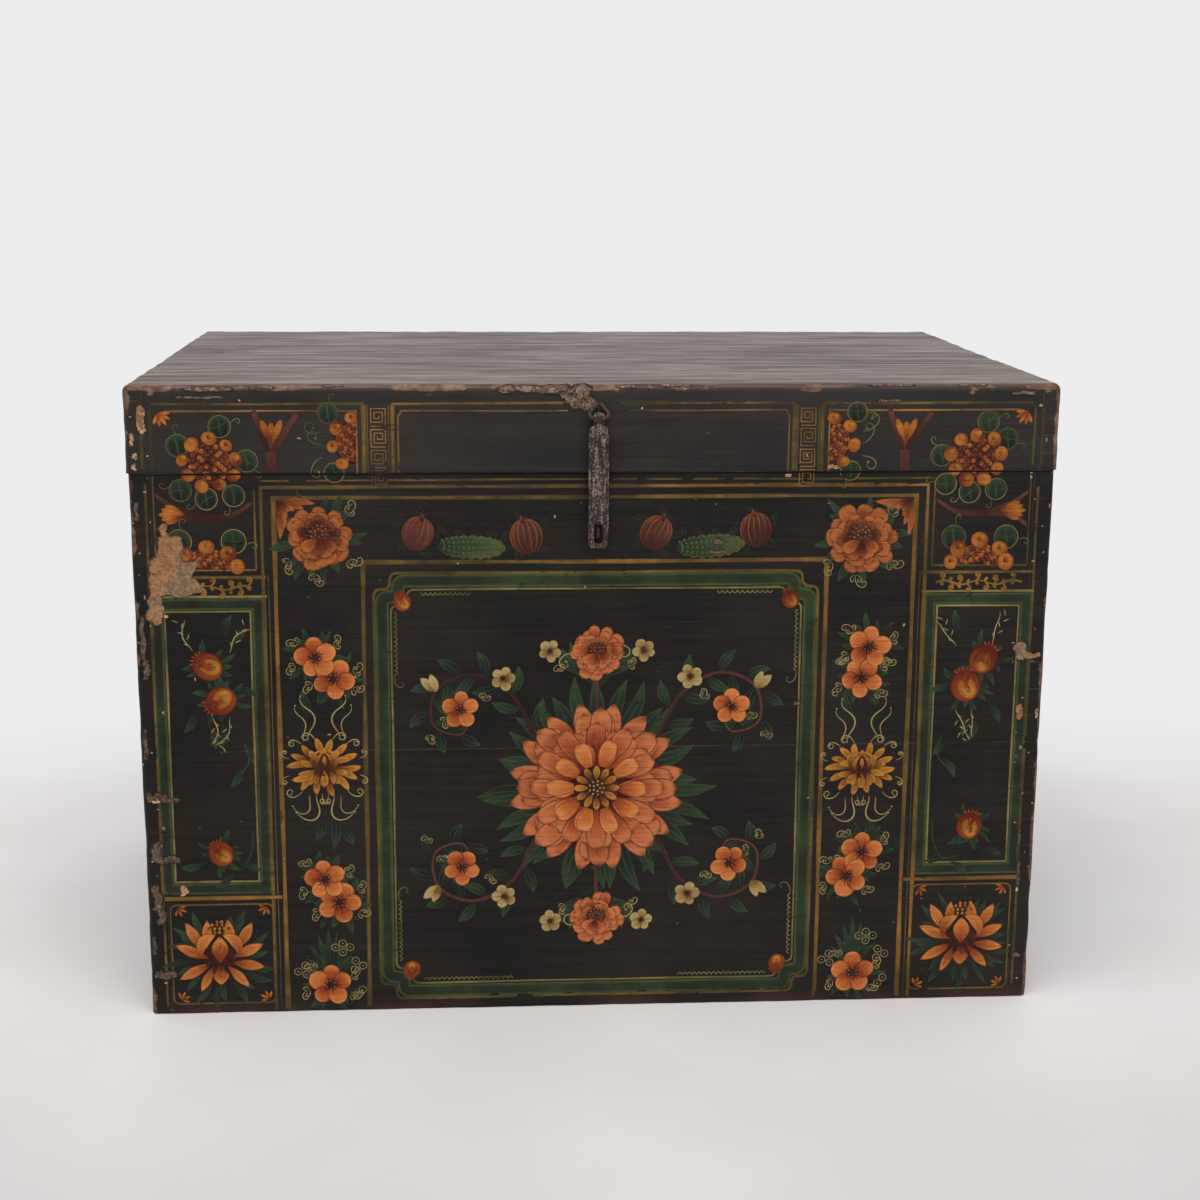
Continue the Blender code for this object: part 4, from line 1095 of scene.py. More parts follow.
def chrysanthemum(x, z, wide, tall, layer=5):
    # broad pointed petals on an oval, in two rings, round a closed bud of bowed ones
    centre = np.array([x, z])
    disc("maroon", x, z, wide * 0.50, layer - 1, 0, 0.8)
    for share, count, shift, width in ((1.0, 14, 0.5, 0.20), (0.72, 10, 0.0, 0.19)):
        for k in range(count):
            angle = 90 + 360 / count * (k + shift)
            reach = np.array([wide, tall]) * heading(angle) * share * rng.uniform(0.90, 1.06)
            lift = layer + rng.random() * 6 + 8 * (share < 1)
            reachTo("gold", centre + reach * 0.26, centre + reach, wide * width, lift,
                    1.35, 0.75, rng.uniform(-0.12, 0.12))
    disc("maroon", x, z + wide * 0.06, wide * 0.30, layer + 16, 90, 0.85)
    for side in (-1, 1):
        for reach, lean, bow in ((0.50, 0.34, 0.34), (0.40, 0.20, 0.24)):
            root = (x + side * wide * lean * 0.6, z - wide * 0.12)
            tip = (x + side * wide * 0.03, z + wide * reach)
            reachTo("gold", root, tip, wide * 0.11, layer + 18 + reach, 1.0, 0.8, -bow * side)
        reachTo("gold", (x + side * wide * 0.10, z - wide * 0.06), (x + side * wide * 0.24, z - wide * 0.50),
                wide * 0.17, layer + 19, 1.3, 0.7, 0.10 * side)
    petal("gold", x, z - wide * 0.02, 90, wide * 0.34, wide * 0.11, layer + 21, 1.1, 0.7)
    petal("gold", x, z - wide * 0.10, 270, wide * 0.46, wide * 0.22, layer + 21, 1.3, 0.6)
    dots("maroon", x, z - wide * 0.08, wide * 0.15, 7, wide * 0.035, layer + 23)


def pomegranate(x, z, radius, crown, layer=6):
    # a ball with a split calyx, lit on the far cheek by smaller and brighter dabs
    for k in range(5):
        start = away(x, z, radius * 0.75, crown + 8 * (k - 2))
        petal("fruit", *start, crown + 24 * (k - 2), radius * 0.55, radius * 0.18, layer - 1 + k * 0.3,
              0.8, 0.8)
    disc("fruit", x, z, radius, layer + 1, crown + 180, 0.96, 15)
    cheek = (("amber", 0.16, 0.72, 0.86), ("gold", 0.30, 0.46, 0.74), ("gold", 0.36, 0.28, 0.8))
    for paint, shift, size, squash in cheek:
        place = away(x, z, -radius * shift, crown + 25)
        disc(paint, *place, radius * size, layer + 2 + shift * 4, crown + 200, squash)
    for k in (-2, -1, 1, 2):
        start = away(x, z, radius * 0.66, crown + 16 * k)
        end = away(x, z, -radius * rng.uniform(0.1, 0.5), crown - 26 * k)
        width = radius * rng.uniform(0.10, 0.18)
        reachTo("fruit", start, end, width, layer + 4 + 0.2 * k, 0.8, 0.7, 0.12 * k)
    dots("ivory", *away(x, z, -radius * 0.42, crown + 20), radius * 0.18, 3, radius * 0.05, layer + 6)


def roundLeaf(x, z, radius, tail, layer=3):
    # a rounded leaf in a pale outline, with a vein and a curled tip
    disc("leaf", x, z, radius * 0.94, layer, 100, 0.92)
    ring("paleGilt", x, z, radius, 0.9, layer + 1)
    vein = [away(x, z, -radius * 0.7, tail), (x, z), away(x, z, radius * 0.8, tail + 25)]
    stem("paleLeaf", vein, 0.7, layer + 1, 0.5, 9)
    curl("paleGilt", *away(x, z, radius, tail), tail + 40, radius * 1.7, -0.9, 0.7, layer + 2)


def ballFlower(x, z, wide, tall, angles, leaves, half=None, layer=5):
    # a scaly maroon heart in a ring of orange balls, on round leaves; half cuts it along a line at that angle
    oval = np.array([wide, tall])
    for angle, reach in leaves:
        roundLeaf(*away(x, z, reach, angle), wide * 0.42, angle - 60)
    if half is None:
        disc("maroon", x, z, wide * 0.86, layer, 90)
    else:
        disc("maroon", x, z, wide * 0.9, layer, half, tall / wide, 16, True)
    for angle in angles:
        place = np.array([x, z]) + oval * heading(angle) * rng.uniform(0.94, 1.05)
        size = wide * rng.uniform(0.25, 0.31)
        disc("amber", *place, size, layer + 8, angle + rng.uniform(60, 120), rng.uniform(0.88, 1.0), 10)
        disc("gold", *away(*place, size * 0.25, 70), size * 0.42, layer + 9, 30, 0.8, 8)
    for row, count in enumerate((18, 15, 11, 7, 4)):
        for k in range(count):
            share = (k + 0.5 * (row % 2 == 0)) / count
            angle = half + 180 * share if half is not None else 360 * share
            place = np.array([x, z]) + oval * (0.56 - 0.14 * row) * heading(angle)
            petal("russet" if (k + row) % 3 else "brick", *place, angle, wide * 0.26, wide * 0.19,
                  layer + 2 + row + 0.3 * (k % 2), 1.6, 0.6, count=9)


def lanternGourd(x, z, radius, angle, layer=4):
    # a ribbed round gourd: thin bright meridians bowed over a red body
    for k in range(5):
        turn = 72 * k + angle
        sprig(*away(x, z, radius * 0.9, turn), turn, radius * 1.3, "smoke")
    disc("rust", x, z, radius, layer, angle, 0.9, 16)
    ahead = heading(angle)
    left = np.array([-ahead[1], ahead[0]])
    u = np.linspace(-1, 1, 15)
    for bow in (-0.95, -0.62, -0.25, 0.12, 0.48, 0.78, 0.95):
        bulge = np.outer(bow * 0.9 * np.sqrt(1 - u ** 2), left)
        path = np.array([x, z]) + radius * (np.outer(u, ahead) + bulge)
        brush.lay("brick", path, radius * 0.017 * (1.4 - u ** 2), layer=layer + 2, across=3)
    stalk = away(x, z, radius * 0.7, angle)
    petal("russet", *stalk, angle + 15, radius * 0.5, radius * 0.25, layer + 4, 0.8, 0.7)


def ribbedGourd(x, z, wide, tall, tilt, layer=4):
    # a long bitter gourd: a lumpy body with upright ribs and rows of warts
    for k in range(4):
        sprig(x - wide * 0.8 + wide * 0.5 * k, z + tall * 0.9, 60 + 20 * k, 17, "smoke")
    u = np.linspace(-1, 1, 33)
    body = tall * np.maximum(1 - np.abs(u) ** 2.6, 0.03) ** 0.6 * (1 + 0.10 * np.cos(u * 24))
    path = np.array([x, z]) + np.outer(u * wide, heading(tilt))
    brush.lay("melon", path, body, layer=layer)
    for share in np.linspace(-0.86, 0.86, 13):
        middle = away(x, z, share * wide, tilt)
        reach = tall * (1 - abs(share) ** 2.6) ** 0.6 * 0.92
        for k in (-1, -0.33, 0.33, 1):
            wart = middle + reach * 0.8 * k * heading(tilt + 90) + 0.04 * wide * (1 - k * k) * heading(tilt)
            petal("paleLeaf", *wart, tilt + 90 + 30 * k, tall * 0.34, 2.6, layer + 2 + k * 0.1,
                  1.0, 0.6, count=7)


def tuft(x, z, angle, reach, count, fan):
    # a fan of small petals set in a corner, longest in the middle
    for k in range(count):
        turn = angle + fan * (k / (count - 1) - 0.5)
        length = reach * (1 - 0.22 * abs(k - (count - 1) / 2) / count * 2)
        petal("amber", x, z, turn, length, reach * 0.26, 5 + k * 0.5, 1.3, 0.8)


def meanderUnit(x, z, wide, tall):
    # a square spiral drawn with one line
    turns = ((1, -1), (-1, -1), (-1, 1), (1, 1), (1, -0.56), (-0.56, -0.56), (-0.56, 0.58), (0.56, 0.58),
             (0.56, -0.14), (-0.14, -0.14), (-0.14, 0.22))
    line([(x + wide * a, z + tall * b) for a, b in turns], 1.15, "ochre", 2.0, step=6.0)


def cornerLeaf(x, z, side, reach):
    # a leaf that fills an upper corner: a fan of pointed lobes, longest along both edges
    for k in range(8):
        size = reach * (1 - 0.62 * math.sin(math.pi * k / 7))
        petal("brick", x, z, facing(-3 - 12 * k, side), size, reach * 0.20, 4 + k * 0.4, 1.1, 0.85, 0.05)
    for k in range(5):
        petal("russet", x, z, facing(-9 - 18 * k, side), reach * 0.36, reach * 0.12, 8 + k * 0.4, 1.2, 0.8)


def lace(start, end, size):
    # scalloped edging: a row of small arches along a line
    start, end = np.array(start, float), np.array(end, float)
    run = end - start
    left = np.array([-run[1], run[0]]) / np.hypot(*run)
    arches = max(3, round(float(np.hypot(*run)) / abs(size * 2)))
    t = np.linspace(0, 1, arches * 6 + 1)
    path = start + np.outer(t, run) + np.outer(size * np.abs(np.sin(np.pi * arches * t)), left)
    brush.lay("paleGilt", path, 0.5, layer=3, across=3)


def scroll(start, end, height, layer=3):
    # gold scrollwork: curls that spring from both sides of a wavy stem
    start, end = np.array(start, float), np.array(end, float)
    u = np.linspace(0, 1, 40)
    path = start + np.outer(u, end - start) + np.outer(np.sin(u * 5 * np.pi) * height * 0.22, (0, 1))
    brush.lay("ochre", path, 0.9 + 0.4 * np.sin(u * 9), layer=layer, across=3)
    for k in range(9):
        place = path[2 + 4 * k]
        side = (-1) ** k
        curl("ochre", *place, 40 * side, height * 1.7, 0.85 * side, 2.3, layer + 0.5, bead=1.6)
        petal("ochre", *place, -55 * side, height * 0.55, 3.6, layer + 1, 1.1, 0.7)


def roundCorners(points, radius, count=6):
    # a closed outline whose corners give way to curves that leave and join its sides at the radius
    points = np.asarray(points, float)
    ends = []
    for step in (1, -1):
        run = np.roll(points, step, 0) - points
        length = np.linalg.norm(run, axis=1)[:, None]
        ends.append((points + run / length * np.minimum(radius, length / 2))[:, None])
    t = np.linspace(0, 1, count)[None, :, None]
    return ((1 - t) ** 2 * ends[0] + 2 * t * (1 - t) * points[:, None] + t ** 2 * ends[1]).reshape(-1, 2)


def notchedFrame(half, low, high, notch, radius):
    # a frame with a square step in each corner, every corner rounded
    corners = []
    for across, up in ((1, 1), (1, -1), (-1, -1), (-1, 1)):
        level = high if up > 0 else low
        steps = [(half - notch, level), (half - notch, level - up * notch), (half, level - up * notch)]
        corners += [(across * x, z) for x, z in steps[::across * up]]
    return roundCorners(corners, radius)


# The lid's front

lidPaint = {
    "outerLine": 588.0, "innerLine": 581.5, "foot": 524.0,      # heights in mm
    "fret": {-1: -200.0, 1: 193.0},             # middle of each meander column
    "flower": {-1: (-352.0, 534.0), 1: (351.0, 537.0)},
    "trunk": {-1: -296.0, 1: 284.0},
}


def paintLid():
    # rules and a meander column on each side, and beyond it half a flower, a forked stem and a whole flower
    look = lidPaint
    outer, inner, foot = look["outerLine"], look["innerLine"], look["foot"]
    for side in (-1, 1):
        fret = look["fret"][side]
        near, out = fret - 18 * side, fret + 19.5 * side        # uprights on either side of the meander
        line([(fret + 12.5 * side, outer), (402 * side, outer)], 2.4)
        line([(fret - 12.5 * side, outer), (20 * side, outer + 0.5)], 2.6)
        line([(out, foot), (out, inner), (390 * side, inner)], 1.7, "ochre")
        line([(28 * side, inner), (fret - 21 * side, inner), (near, 576.0), (near, foot)], 1.6)
        for place, width in ((-12.8, 4.0), (12.8, 4.4), (9.6, 0.9), (-9.6, 0.9)):
            line([(fret + place * side, foot), (fret + place * side, 587.0)], width)
        for k in range(4):
            meanderUnit(fret, 575.5 - 19.0 * k, 6.6 * (1 if k % 2 else -1), 7.9)
        for place, width in ((404, 2.2), (412, 2.8)):
            line([(place * side, 530.0), (place * side, 583.0)], width)
        tuft(397 * side, 580.0, 235 if side > 0 else 305, 14, 5, 110)
        x, z = look["flower"][side]
        leaves = ((74, 35), (facing(176, side), 33), (222, 37), (262, 33), (304, 36),
                  (32 if side > 0 else 150, 33))
        ballFlower(x, z, 24, 22, np.arange(9) * 40 + 10, leaves)
        trunk = look["trunk"][side]
        stem("rust", [(trunk, 523), (trunk - 1, 545), (trunk - 2, 560)], 10, 3, 0.9, 14)
        stem("rust", [(trunk - 2, 545), (trunk - 10, 566), (trunk - 16, 582)], 7, 3.2, 0.7, 12)
        stem("rust", [(trunk + 1, 545), (trunk + 13, 564), (trunk + 24, 580)], 7, 3.4, 0.7, 12)
        for angle, length in ((112, 25), (68, 25), (90, 21)):
            petal("amber", trunk, 551, angle, length, 7.0, 5 + angle / 100, 1.4, 0.75)
        ballFlower(out + 1.5 * side, 553.0, 22, 22, [90 + side * -a for a in (8, 52, 100, 148)],
                   ((90 - 42 * side, 36), (270 + 35 * side, 34)), half=-90 * side)
        for k, (dz, angle) in enumerate(((-2, 20), (-12, -20), (10, 0))):
            turns = 0.8 * side * (-1) ** k
            curl("paleGilt", out + 30 * side, 552.0 + dz, facing(angle, side), 34, turns, 0.9, 3, 0.25, 1.2)


# The chest's front

bandPaint = {
    # places in mm: x from the middle, z from the floor
    "peonies": ((-256, 465, 33), (246, 461, 34)),
    "lanterns": ((-166, 468, 16.5, 70), (-66, 465, 17, 100), (54, 468, 16.5, 60), (147, 470, 16.5, 95)),
    "bitterGourds": ((-116, 455, 31, 10.5, -2), (105, 455, 32, 10.5, 4)),
    "blossoms": ((-262, 352, 20, 100), (-246, 331, 20, 60), (257, 357, 21, 80), (251, 327, 20, 125),
                 (-258, 134, 20, 100), (-245, 111, 21, 70), (257, 153, 21, 90), (243, 129, 21, 115),
                 (-255, 27, 21, 90), (252, 29, 21, 90)),
    "chrysanthemums": ((-256, 246, 35, 29), (254, 237, 35, 27)),
    # from a chrysanthemum's middle: x, z, angle, length, turns, sway and width of the curls on its right
    "curls": ((14, 24, 70, 52, 0.10, 0.9, 1.5), (18, 24, 62, 40, 0.14, 0.8, 1.1),
              (6, 24, 50, 34, -1.2, 0.2, 1.1), (20, 22, 30, 28, -1.2, 0.2, 1.1),
              (32, 8, 10, 22, 1.3, 0.1, 1.1), (32, -8, -20, 24, -1.3, 0.1, 1.1),
              (20, -22, -55, 32, 1.1, 0.1, 1.1), (8, -26, -80, 48, 0.36, -0.55, 1.5),
              (14, -27, -72, 36, 0.38, -0.5, 1.1), (3, -26, -95, 26, -1.2, 0.1, 1.0)),
    "leaves": ((8, -46, 268, 36), (-12, 50, 105, 26), (-2, -52, 250, 22), (10, 60, 80, 22),
               (16, -62, 300, 18)),
    # rings round the lowest blossoms, from their middle
    "rings": ((-24, 20), (-31, 14), (-23, 11), (24, 24), (31, 19), (23, 15), (5, 38), (12, 42), (19, 38),
              (12, 33), (30, -6), (25, -12)),
}
sidePanel = {
    "outer": 411.0, "inner": 308.0, "band": 11.0,
    "low": {-1: 121.0, 1: 129.0}, "high": 408.5,
    "rule": {-1: 117.0, 1: 124.5},             # above the lotus squares
    "squareTop": {-1: 110.5, 1: 118.5},
    # x, z, angle and length of the cream sprays, then x, z and angle of the leaves, on the right half
    "sprays": ((341, 356, 118, 34), (374, 358, 66, 34), (358, 296, 262, 30), (342, 296, 285, 34)),
    "leaves": ((330, 270, 250), (333, 246, 300), (345, 158, 20), (338, 150, 200), (374, 300, 300),
               (336, 322, 200), (345, 372, 110), (338, 362, 130), (350, 290, 270), (362, 286, 255),
               (372, 152, 350), (344, 142, 320)),
}
frontRules = (
    # corners on the right half, width, paint on the left half and on the right one, where less is rubbed off
    (((411, 8), (411, 516)), 2.4, "gilt", "gilt"),
    (((404, 436), (404, 522)), 1.6, "gilt", "gilt"),
    (((313.5, 436), (313.5, 515)), 1.7, "gilt", "gilt"),
    (((313.5, 435), (404, 435)), 1.5, "ochre", "ochre"),
    (((305, 428.5), (412, 428.5)), 3.2, "gilt", "gilt"),
    (((305, 410), (412, 410)), 2.4, "paleGilt", "paleGilt"),
    (((307.5, 3), (307.5, 511.5), (0, 512)), 3.4, "gilt", "ochre"),
    (((303, 3), (303, 430)), 0.9, "gilt", "gilt"),
    (((313.5, 517.8), (0, 518)), 1.8, "gilt", "gilt"),
    (((296.5, 3), (296.5, 502)), 4.2, "ochre", "ochre"),
    (((298.5, 501.8), (0, 501.5)), 3.6, "gilt", "gilt"),
)
pomegranates = ((-361, 344, 14, 145), (-350, 311, 14.5, 210), (-355, 161, 12.5, 120),
                (367, 344, 14.5, 60), (351, 318, 15.5, 100), (361, 178, 13.5, 80))


def panelCorners(side, inset):
    # corners of a side panel, moved in by an inset
    far, near = (sidePanel["outer"] - inset) * side, (sidePanel["inner"] + inset) * side
    low, high = sidePanel["low"][side] + inset, sidePanel["high"] - inset
    return [(far, low), (near, low), (near, high), (far, high)]


def paintRules():
    # gilt rules and green bands that divide the front
    band = sidePanel["band"]
    for side in (-1, 1):
        for corners, width, left, right in frontRules:
            line([(x * side, z) for x, z in corners], width, right if side > 0 else left)
        foot, head = (215, 214.5) if side > 0 else (218, 216.5)     # the innermost upright leans
        line([(foot * side, 4), (head * side, 441.5), (0, 441)], 4.0, "ochre" if side > 0 else "gilt")
        green = evenly(panelCorners(side, band / 2), 10.0, True)
        brush.lay("green", green, band / 2 * 0.96, layer=0.4, closed=True, across=7)
        line(panelCorners(side, 0.85 * band + 3.0), 1.9, "paleGilt", 1.5, True)
        edge = (sidePanel["inner"] - 0.5) * side
        line([(edge, sidePanel["low"][side]), (edge, sidePanel["high"])], 2.0, "gilt", 1.2)
        rule, top = sidePanel["rule"][side], sidePanel["squareTop"][side]
        line([(412 * side, rule), (299 * side, rule)], 3.8, "ochre")
        square = [(308 * side, 10), (405 * side, 10), (405 * side, top), (308 * side, top)]
        brush.lay("ochre", evenly(roundCorners(square, 7.0), 12.0, True), 0.75, layer=1.5, closed=True)


def paintCorners():
    # the small panels above and below each green frame, and the fruit inside it
    for side in (-1, 1):
        ballFlower(358 * side, 437.0, 27, 21, (4, 42, 90, 138, 176), ((45, 35), (135, 35)), half=0.0)
        bough = [(x * side, z) for x, z in ((403, 506), (388, 495), (362, 484), (335, 486), (315, 498))]
        for half in (bough[2:], bough[2::-1]):
            stem("rust", half, 7.0, 3, 0.35, 14)
        stem("rust", [(362 * side, 484), (388 * side, 482), (403 * side, 472)], 6.0, 3, 0.5, 14)
        tuft(376 * side, 487, facing(0, side), 25, 5, 50)
        scroll((318 * side, 418.5), (400 * side, 418.5), 9.0)
        top = sidePanel["squareTop"][side] - 3
        for x, z, angle in ((314, top, -45), (398, top, 225), (314, 14, 45), (398, 14, 135)):
            tuft(x * side, z, facing(angle, side), 10, 4, 120)
        lotus((358 if side > 0 else 359.5) * side, 61 if side > 0 else 55, 42)
    for x, z, radius, crown in pomegranates:
        foliage(x, z, radius, crown + np.array((40, 150, 205, 250, 320)), radius * 0.9, radius * 0.40)
        pomegranate(x, z, radius, crown)
    for side in (-1, 1):
        for x, z, angle, length in sidePanel["sprays"]:
            lean = facing(angle, side)
            curl("cream", x * side, z, lean, length, 0.12 * side, 1.1, 3, 0.3)
            for k in range(5):
                place = away(x * side, z, length * 0.18 * (k + 1), lean)
                petal("cream", *place, lean + 42 * (-1) ** k, 6.5, 1.0, 3, 0.8, 0.8)
        for x, z, angle in sidePanel["leaves"]:
            petal("leaf", x * side, z, facing(angle, side), 22, 7.0, 2, 1.1, 0.95, 0.10)
        stem("paleLeaf", [(330 * side, 270), (326 * side, 252), (336 * side, 238)], 0.9, 2, 0.5, 12)
        low = [(352 * side, 148), (336 * side, 146), (326 * side, 165), (325 * side, 185)]
        stem("paleLeaf", low, 1.0, 2, 0.4, 14)


def paintBand():
    # flowers, gourds and fruit in the band round the middle panel
    look = bandPaint
    for x, z, radius in look["peonies"]:
        foliage(x, z, radius, (18, 62, 130, 200, 248, 292, 335), radius * 0.42, radius * 0.27)
        for angle in (38, 218, 318, 262):
            sprig(*away(x, z, radius * 1.02, angle), angle, 30)
        peony(x, z, radius)
        cornerLeaf(292 if x > 0 else -293, 498, -1 if x > 0 else 1, 35)
    for gourd in look["lanterns"]:
        lanternGourd(*gourd)
    for gourd in look["bitterGourds"]:
        ribbedGourd(*gourd)
    for x, z, radius, _ in look["blossoms"]:
        foliage(x, z, radius, (62, 112, 165, 238, 300, 5), radius * 0.55, radius * 0.34)
        for angle in (20, 130, 200, 320):
            sprig(*away(x, z, radius, angle + rng.uniform(-10, 10)), angle, 25)
    for x, z, radius, turn in look["blossoms"]:
        blossom(x, z, radius, turn, 6 + rng.random() * 8)
    for x, z, wide, tall in look["chrysanthemums"]:
        for side in (-1, 1):
            for dx, dz, angle, length, turns, sway, width in look["curls"]:
                curl("cream", x + dx * side, z + dz, facing(angle, side), length, turns * side, width,
                     3.5, sway * side, 0.8)
        chrysanthemum(x, z, wide, tall)
        for dx, dz, angle, length in look["leaves"]:
            petal("leaf", x + dx, z + dz, angle, length, 9, 2, 1.0, 0.9, 0.06)
    for x, z, _, _ in look["blossoms"][-2:]:
        for angle in (40, 62, 80, 92, 106, 124, 146):
            petal("leaf", x, z + 12, angle, 46 - abs(angle - 92) * 0.35, 7, 2.2, 0.8, 1.1)
        for dx, dz in look["rings"]:
            ring("cream", x + dx, z + dz, 3.6, 0.65, 3, 12)
            disc("cream", x + dx, z + dz, 0.7, 3, count=6)


centrePaint = {
    "half": 207.0, "low": 11.5, "high": 431.0, "notch": 15.0, "corner": 7.0, "band": 12.5,
    "flower": (0.0, 222.0),      # middle of the round flower
    "reach": 80.0,
}


def paintCentreFrame():
    # a notched frame of gilt, green and pale gilt lines, lace inside it and a fruit in each corner
    look = centrePaint
    half, low, high, band = [look[key] for key in ("half", "low", "high", "band")]

    def outline(inset):
        return notchedFrame(half - inset, low + inset, high - inset, look["notch"], look["corner"])

    line(outline(0.0), 2.8, "gilt", 1.2, True, 14.0)
    green = evenly(outline(band / 2 + 1), 14.0, True)
    brush.lay("green", green, band / 2, layer=0.5, closed=True, across=7)
    line(outline(band + 3.0), 1.9, "paleGilt", 1.2, True, 14.0)
    inner, top, foot = half - band - 6, high - band - 6, low + band + 6
    for side in (-1, 1):
        lace((side * 164, top), (side * (118 if side < 0 else 112), top), 2.3 * side)
        lace((side * 80, foot), (side * 165, foot), 2.3 * side)
        lace((side * inner, 50), (side * inner, 112), 2.3 * side)
        lace((side * inner, 334), (side * inner, 394), 2.3 * side)
        curl("paleGilt", side * inner, 112, 95, 24, 0.7 * side, 1.0, 3)
        curl("paleGilt", side * inner, 334, 265, 22, -0.7 * side, 1.0, 3)
        pomegranate(side * 181, 404, 9, 110)
        pomegranate(side * 177, 41, 9, 250)


def treasureFlower(x, z, reach, layer=5):
    # a round flower seen from above: leaves, pointed petals, ruffled lobes
    # and a ring of small petals about a seeded heart
    for k in range(32):
        angle = 11.25 * k + rng.uniform(-4, 4)
        sway = (-1) ** k
        petal("leaf", *away(x, z, reach * 0.6, angle), angle + 14 * sway, reach * rng.uniform(0.6, 0.86),
              reach * 0.17, layer - 3 + rng.random(), 1.05, 0.95, 0.10 * sway)
    disc("maroon", x, z, reach * 0.80, layer, 0, 1.0, 20)
    for k in range(16):
        angle = 22.5 * (k + 0.5)
        petal("coral", *away(x, z, reach * 0.35, angle), angle, reach * 0.70, reach * 0.26,
              layer + 1 + rng.random() * 4, 1.4, 0.75, rng.uniform(-0.05, 0.05))
    for share, count, width, lift in ((1.0, 8, 0.34, 6), (0.80, 12, 0.30, 24), (0.60, 10, 0.26, 40)):
        outer = share > 0.7
        for k in range(count):
            angle = 90 + 360 / count * (k + 0.5 * (count == 10))
            start = away(x, z, reach * share * 0.30, angle)
            for lean, back in ((-11, 0.90), (11, 0.92), (0, 1.0)):
                turn = angle + lean * outer + rng.uniform(-4, 4)
                length = reach * share * 0.70 * back * rng.uniform(0.93, 1.04)
                petal("coral" if outer else "apricot", *start, turn, length, reach * width * 0.8,
                      layer + lift + k * 0.6 + 6 * (lean == 0), 1.85, 0.5, rng.uniform(-0.05, 0.05))
    disc("maroon", x, z, reach * 0.27, layer + 56, 0, 1.0, 16)
    for k in range(12):
        start = away(x, z, reach * 0.08, 30 * k)
        petal("gold", *start, 30 * k, reach * 0.20, reach * 0.085, layer + 57, 1.4, 0.7)
    disc("maroon", x, z, reach * 0.105, layer + 59, 0, 1.0, 12)
    for place, count in ((0.085, 9), (0.04, 5)):
        dots("ivory", x, z, reach * place, count, reach * 0.013, layer + 60)


def paintCentre():
    # a symmetrical design: a round flower, leafy scrolls to both sides and small flowers above and below
    x, z = centrePaint["flower"]
    reach = centrePaint["reach"]
    bends = ((0, 0), (22, 42), (58, 62), (92, 48), (96, 14), (70, 4), (60, 24))
    for side in (-1, 1):
        for up in (-1, 1):
            base = np.array([x + side * 58, z + up * 50])
            route = [base + [side * dx, up * dz] for dx, dz in bends]
            stem("rust", route, 4.0, 3, 0.4, 44)
            path = smoothPath(route, 19)
            steps = np.gradient(path, axis=0)
            for k in range(1, 17):
                angle = math.degrees(math.atan2(steps[k, 1], steps[k, 0])) + 55 * (-1) ** k
                petal("leaf", *path[k], angle + rng.uniform(-8, 8), 30 - k * 0.6, 10, 2 + 0.1 * k,
                      1.05, 0.9, 0.10 * (-1) ** k)
            blossom(*(base + [side * 70, up * 28]), 18, 90 * up, 8)
            blossom(*(base + [side * 30, up * 58]), 12, 90 * up + 20 * side, 8, "ivory")
            bud = base + [side * 92, up * 46]
            petal("ivory", *bud, 90 * up - 50 * side * up, 20, 10, 5, 0.9, 0.8)
            petal("ivory", *bud, 90 * up - 20 * side * up, 18, 9, 5.5, 0.9, 0.8)
            for dx, dz, turn in ((84, 20, -40), (44, 36, 70), (100, 4, -80)):
                turn = math.radians(turn)
                angle = math.degrees(math.atan2(up * math.sin(turn), side * math.cos(turn)))
                sprig(*(base + [side * dx, up * dz]), angle, 22)
    for up in (-1, 1):
        stem("rust", [(x, z + up * 70), (x, z + up * 118)], 4.0, 3, 0.8, 8)
        for side in (-1, 1):
            out = side * up
            for k in range(6):
                angle = 90 * up - out * (14 + 18 * k)
                petal("leaf", x, z + up * (96 + 6 * k), angle, 52 - 4 * k, 11, 2 + k * 0.2,
                      1.05, 0.9, -0.1 * out)
            curl("cream", x + side * 8, z + up * 126, 90 * up - 50 * out, 50, -1.0 * out, 1.2, 3.5, 0.3, 1.0)
            sprig(x + side * 30, z + up * 118, 90 * up - 70 * out, 22)
            blossom(x + side * 44, z + up * 134, 11, 90 * up + 30 * side, 8, "ivory")
        peony(x, z + up * 132, 27, 90 * up, paint="coral", heart="brick")
    treasureFlower(x, z, reach)


# Wear on top of the paint

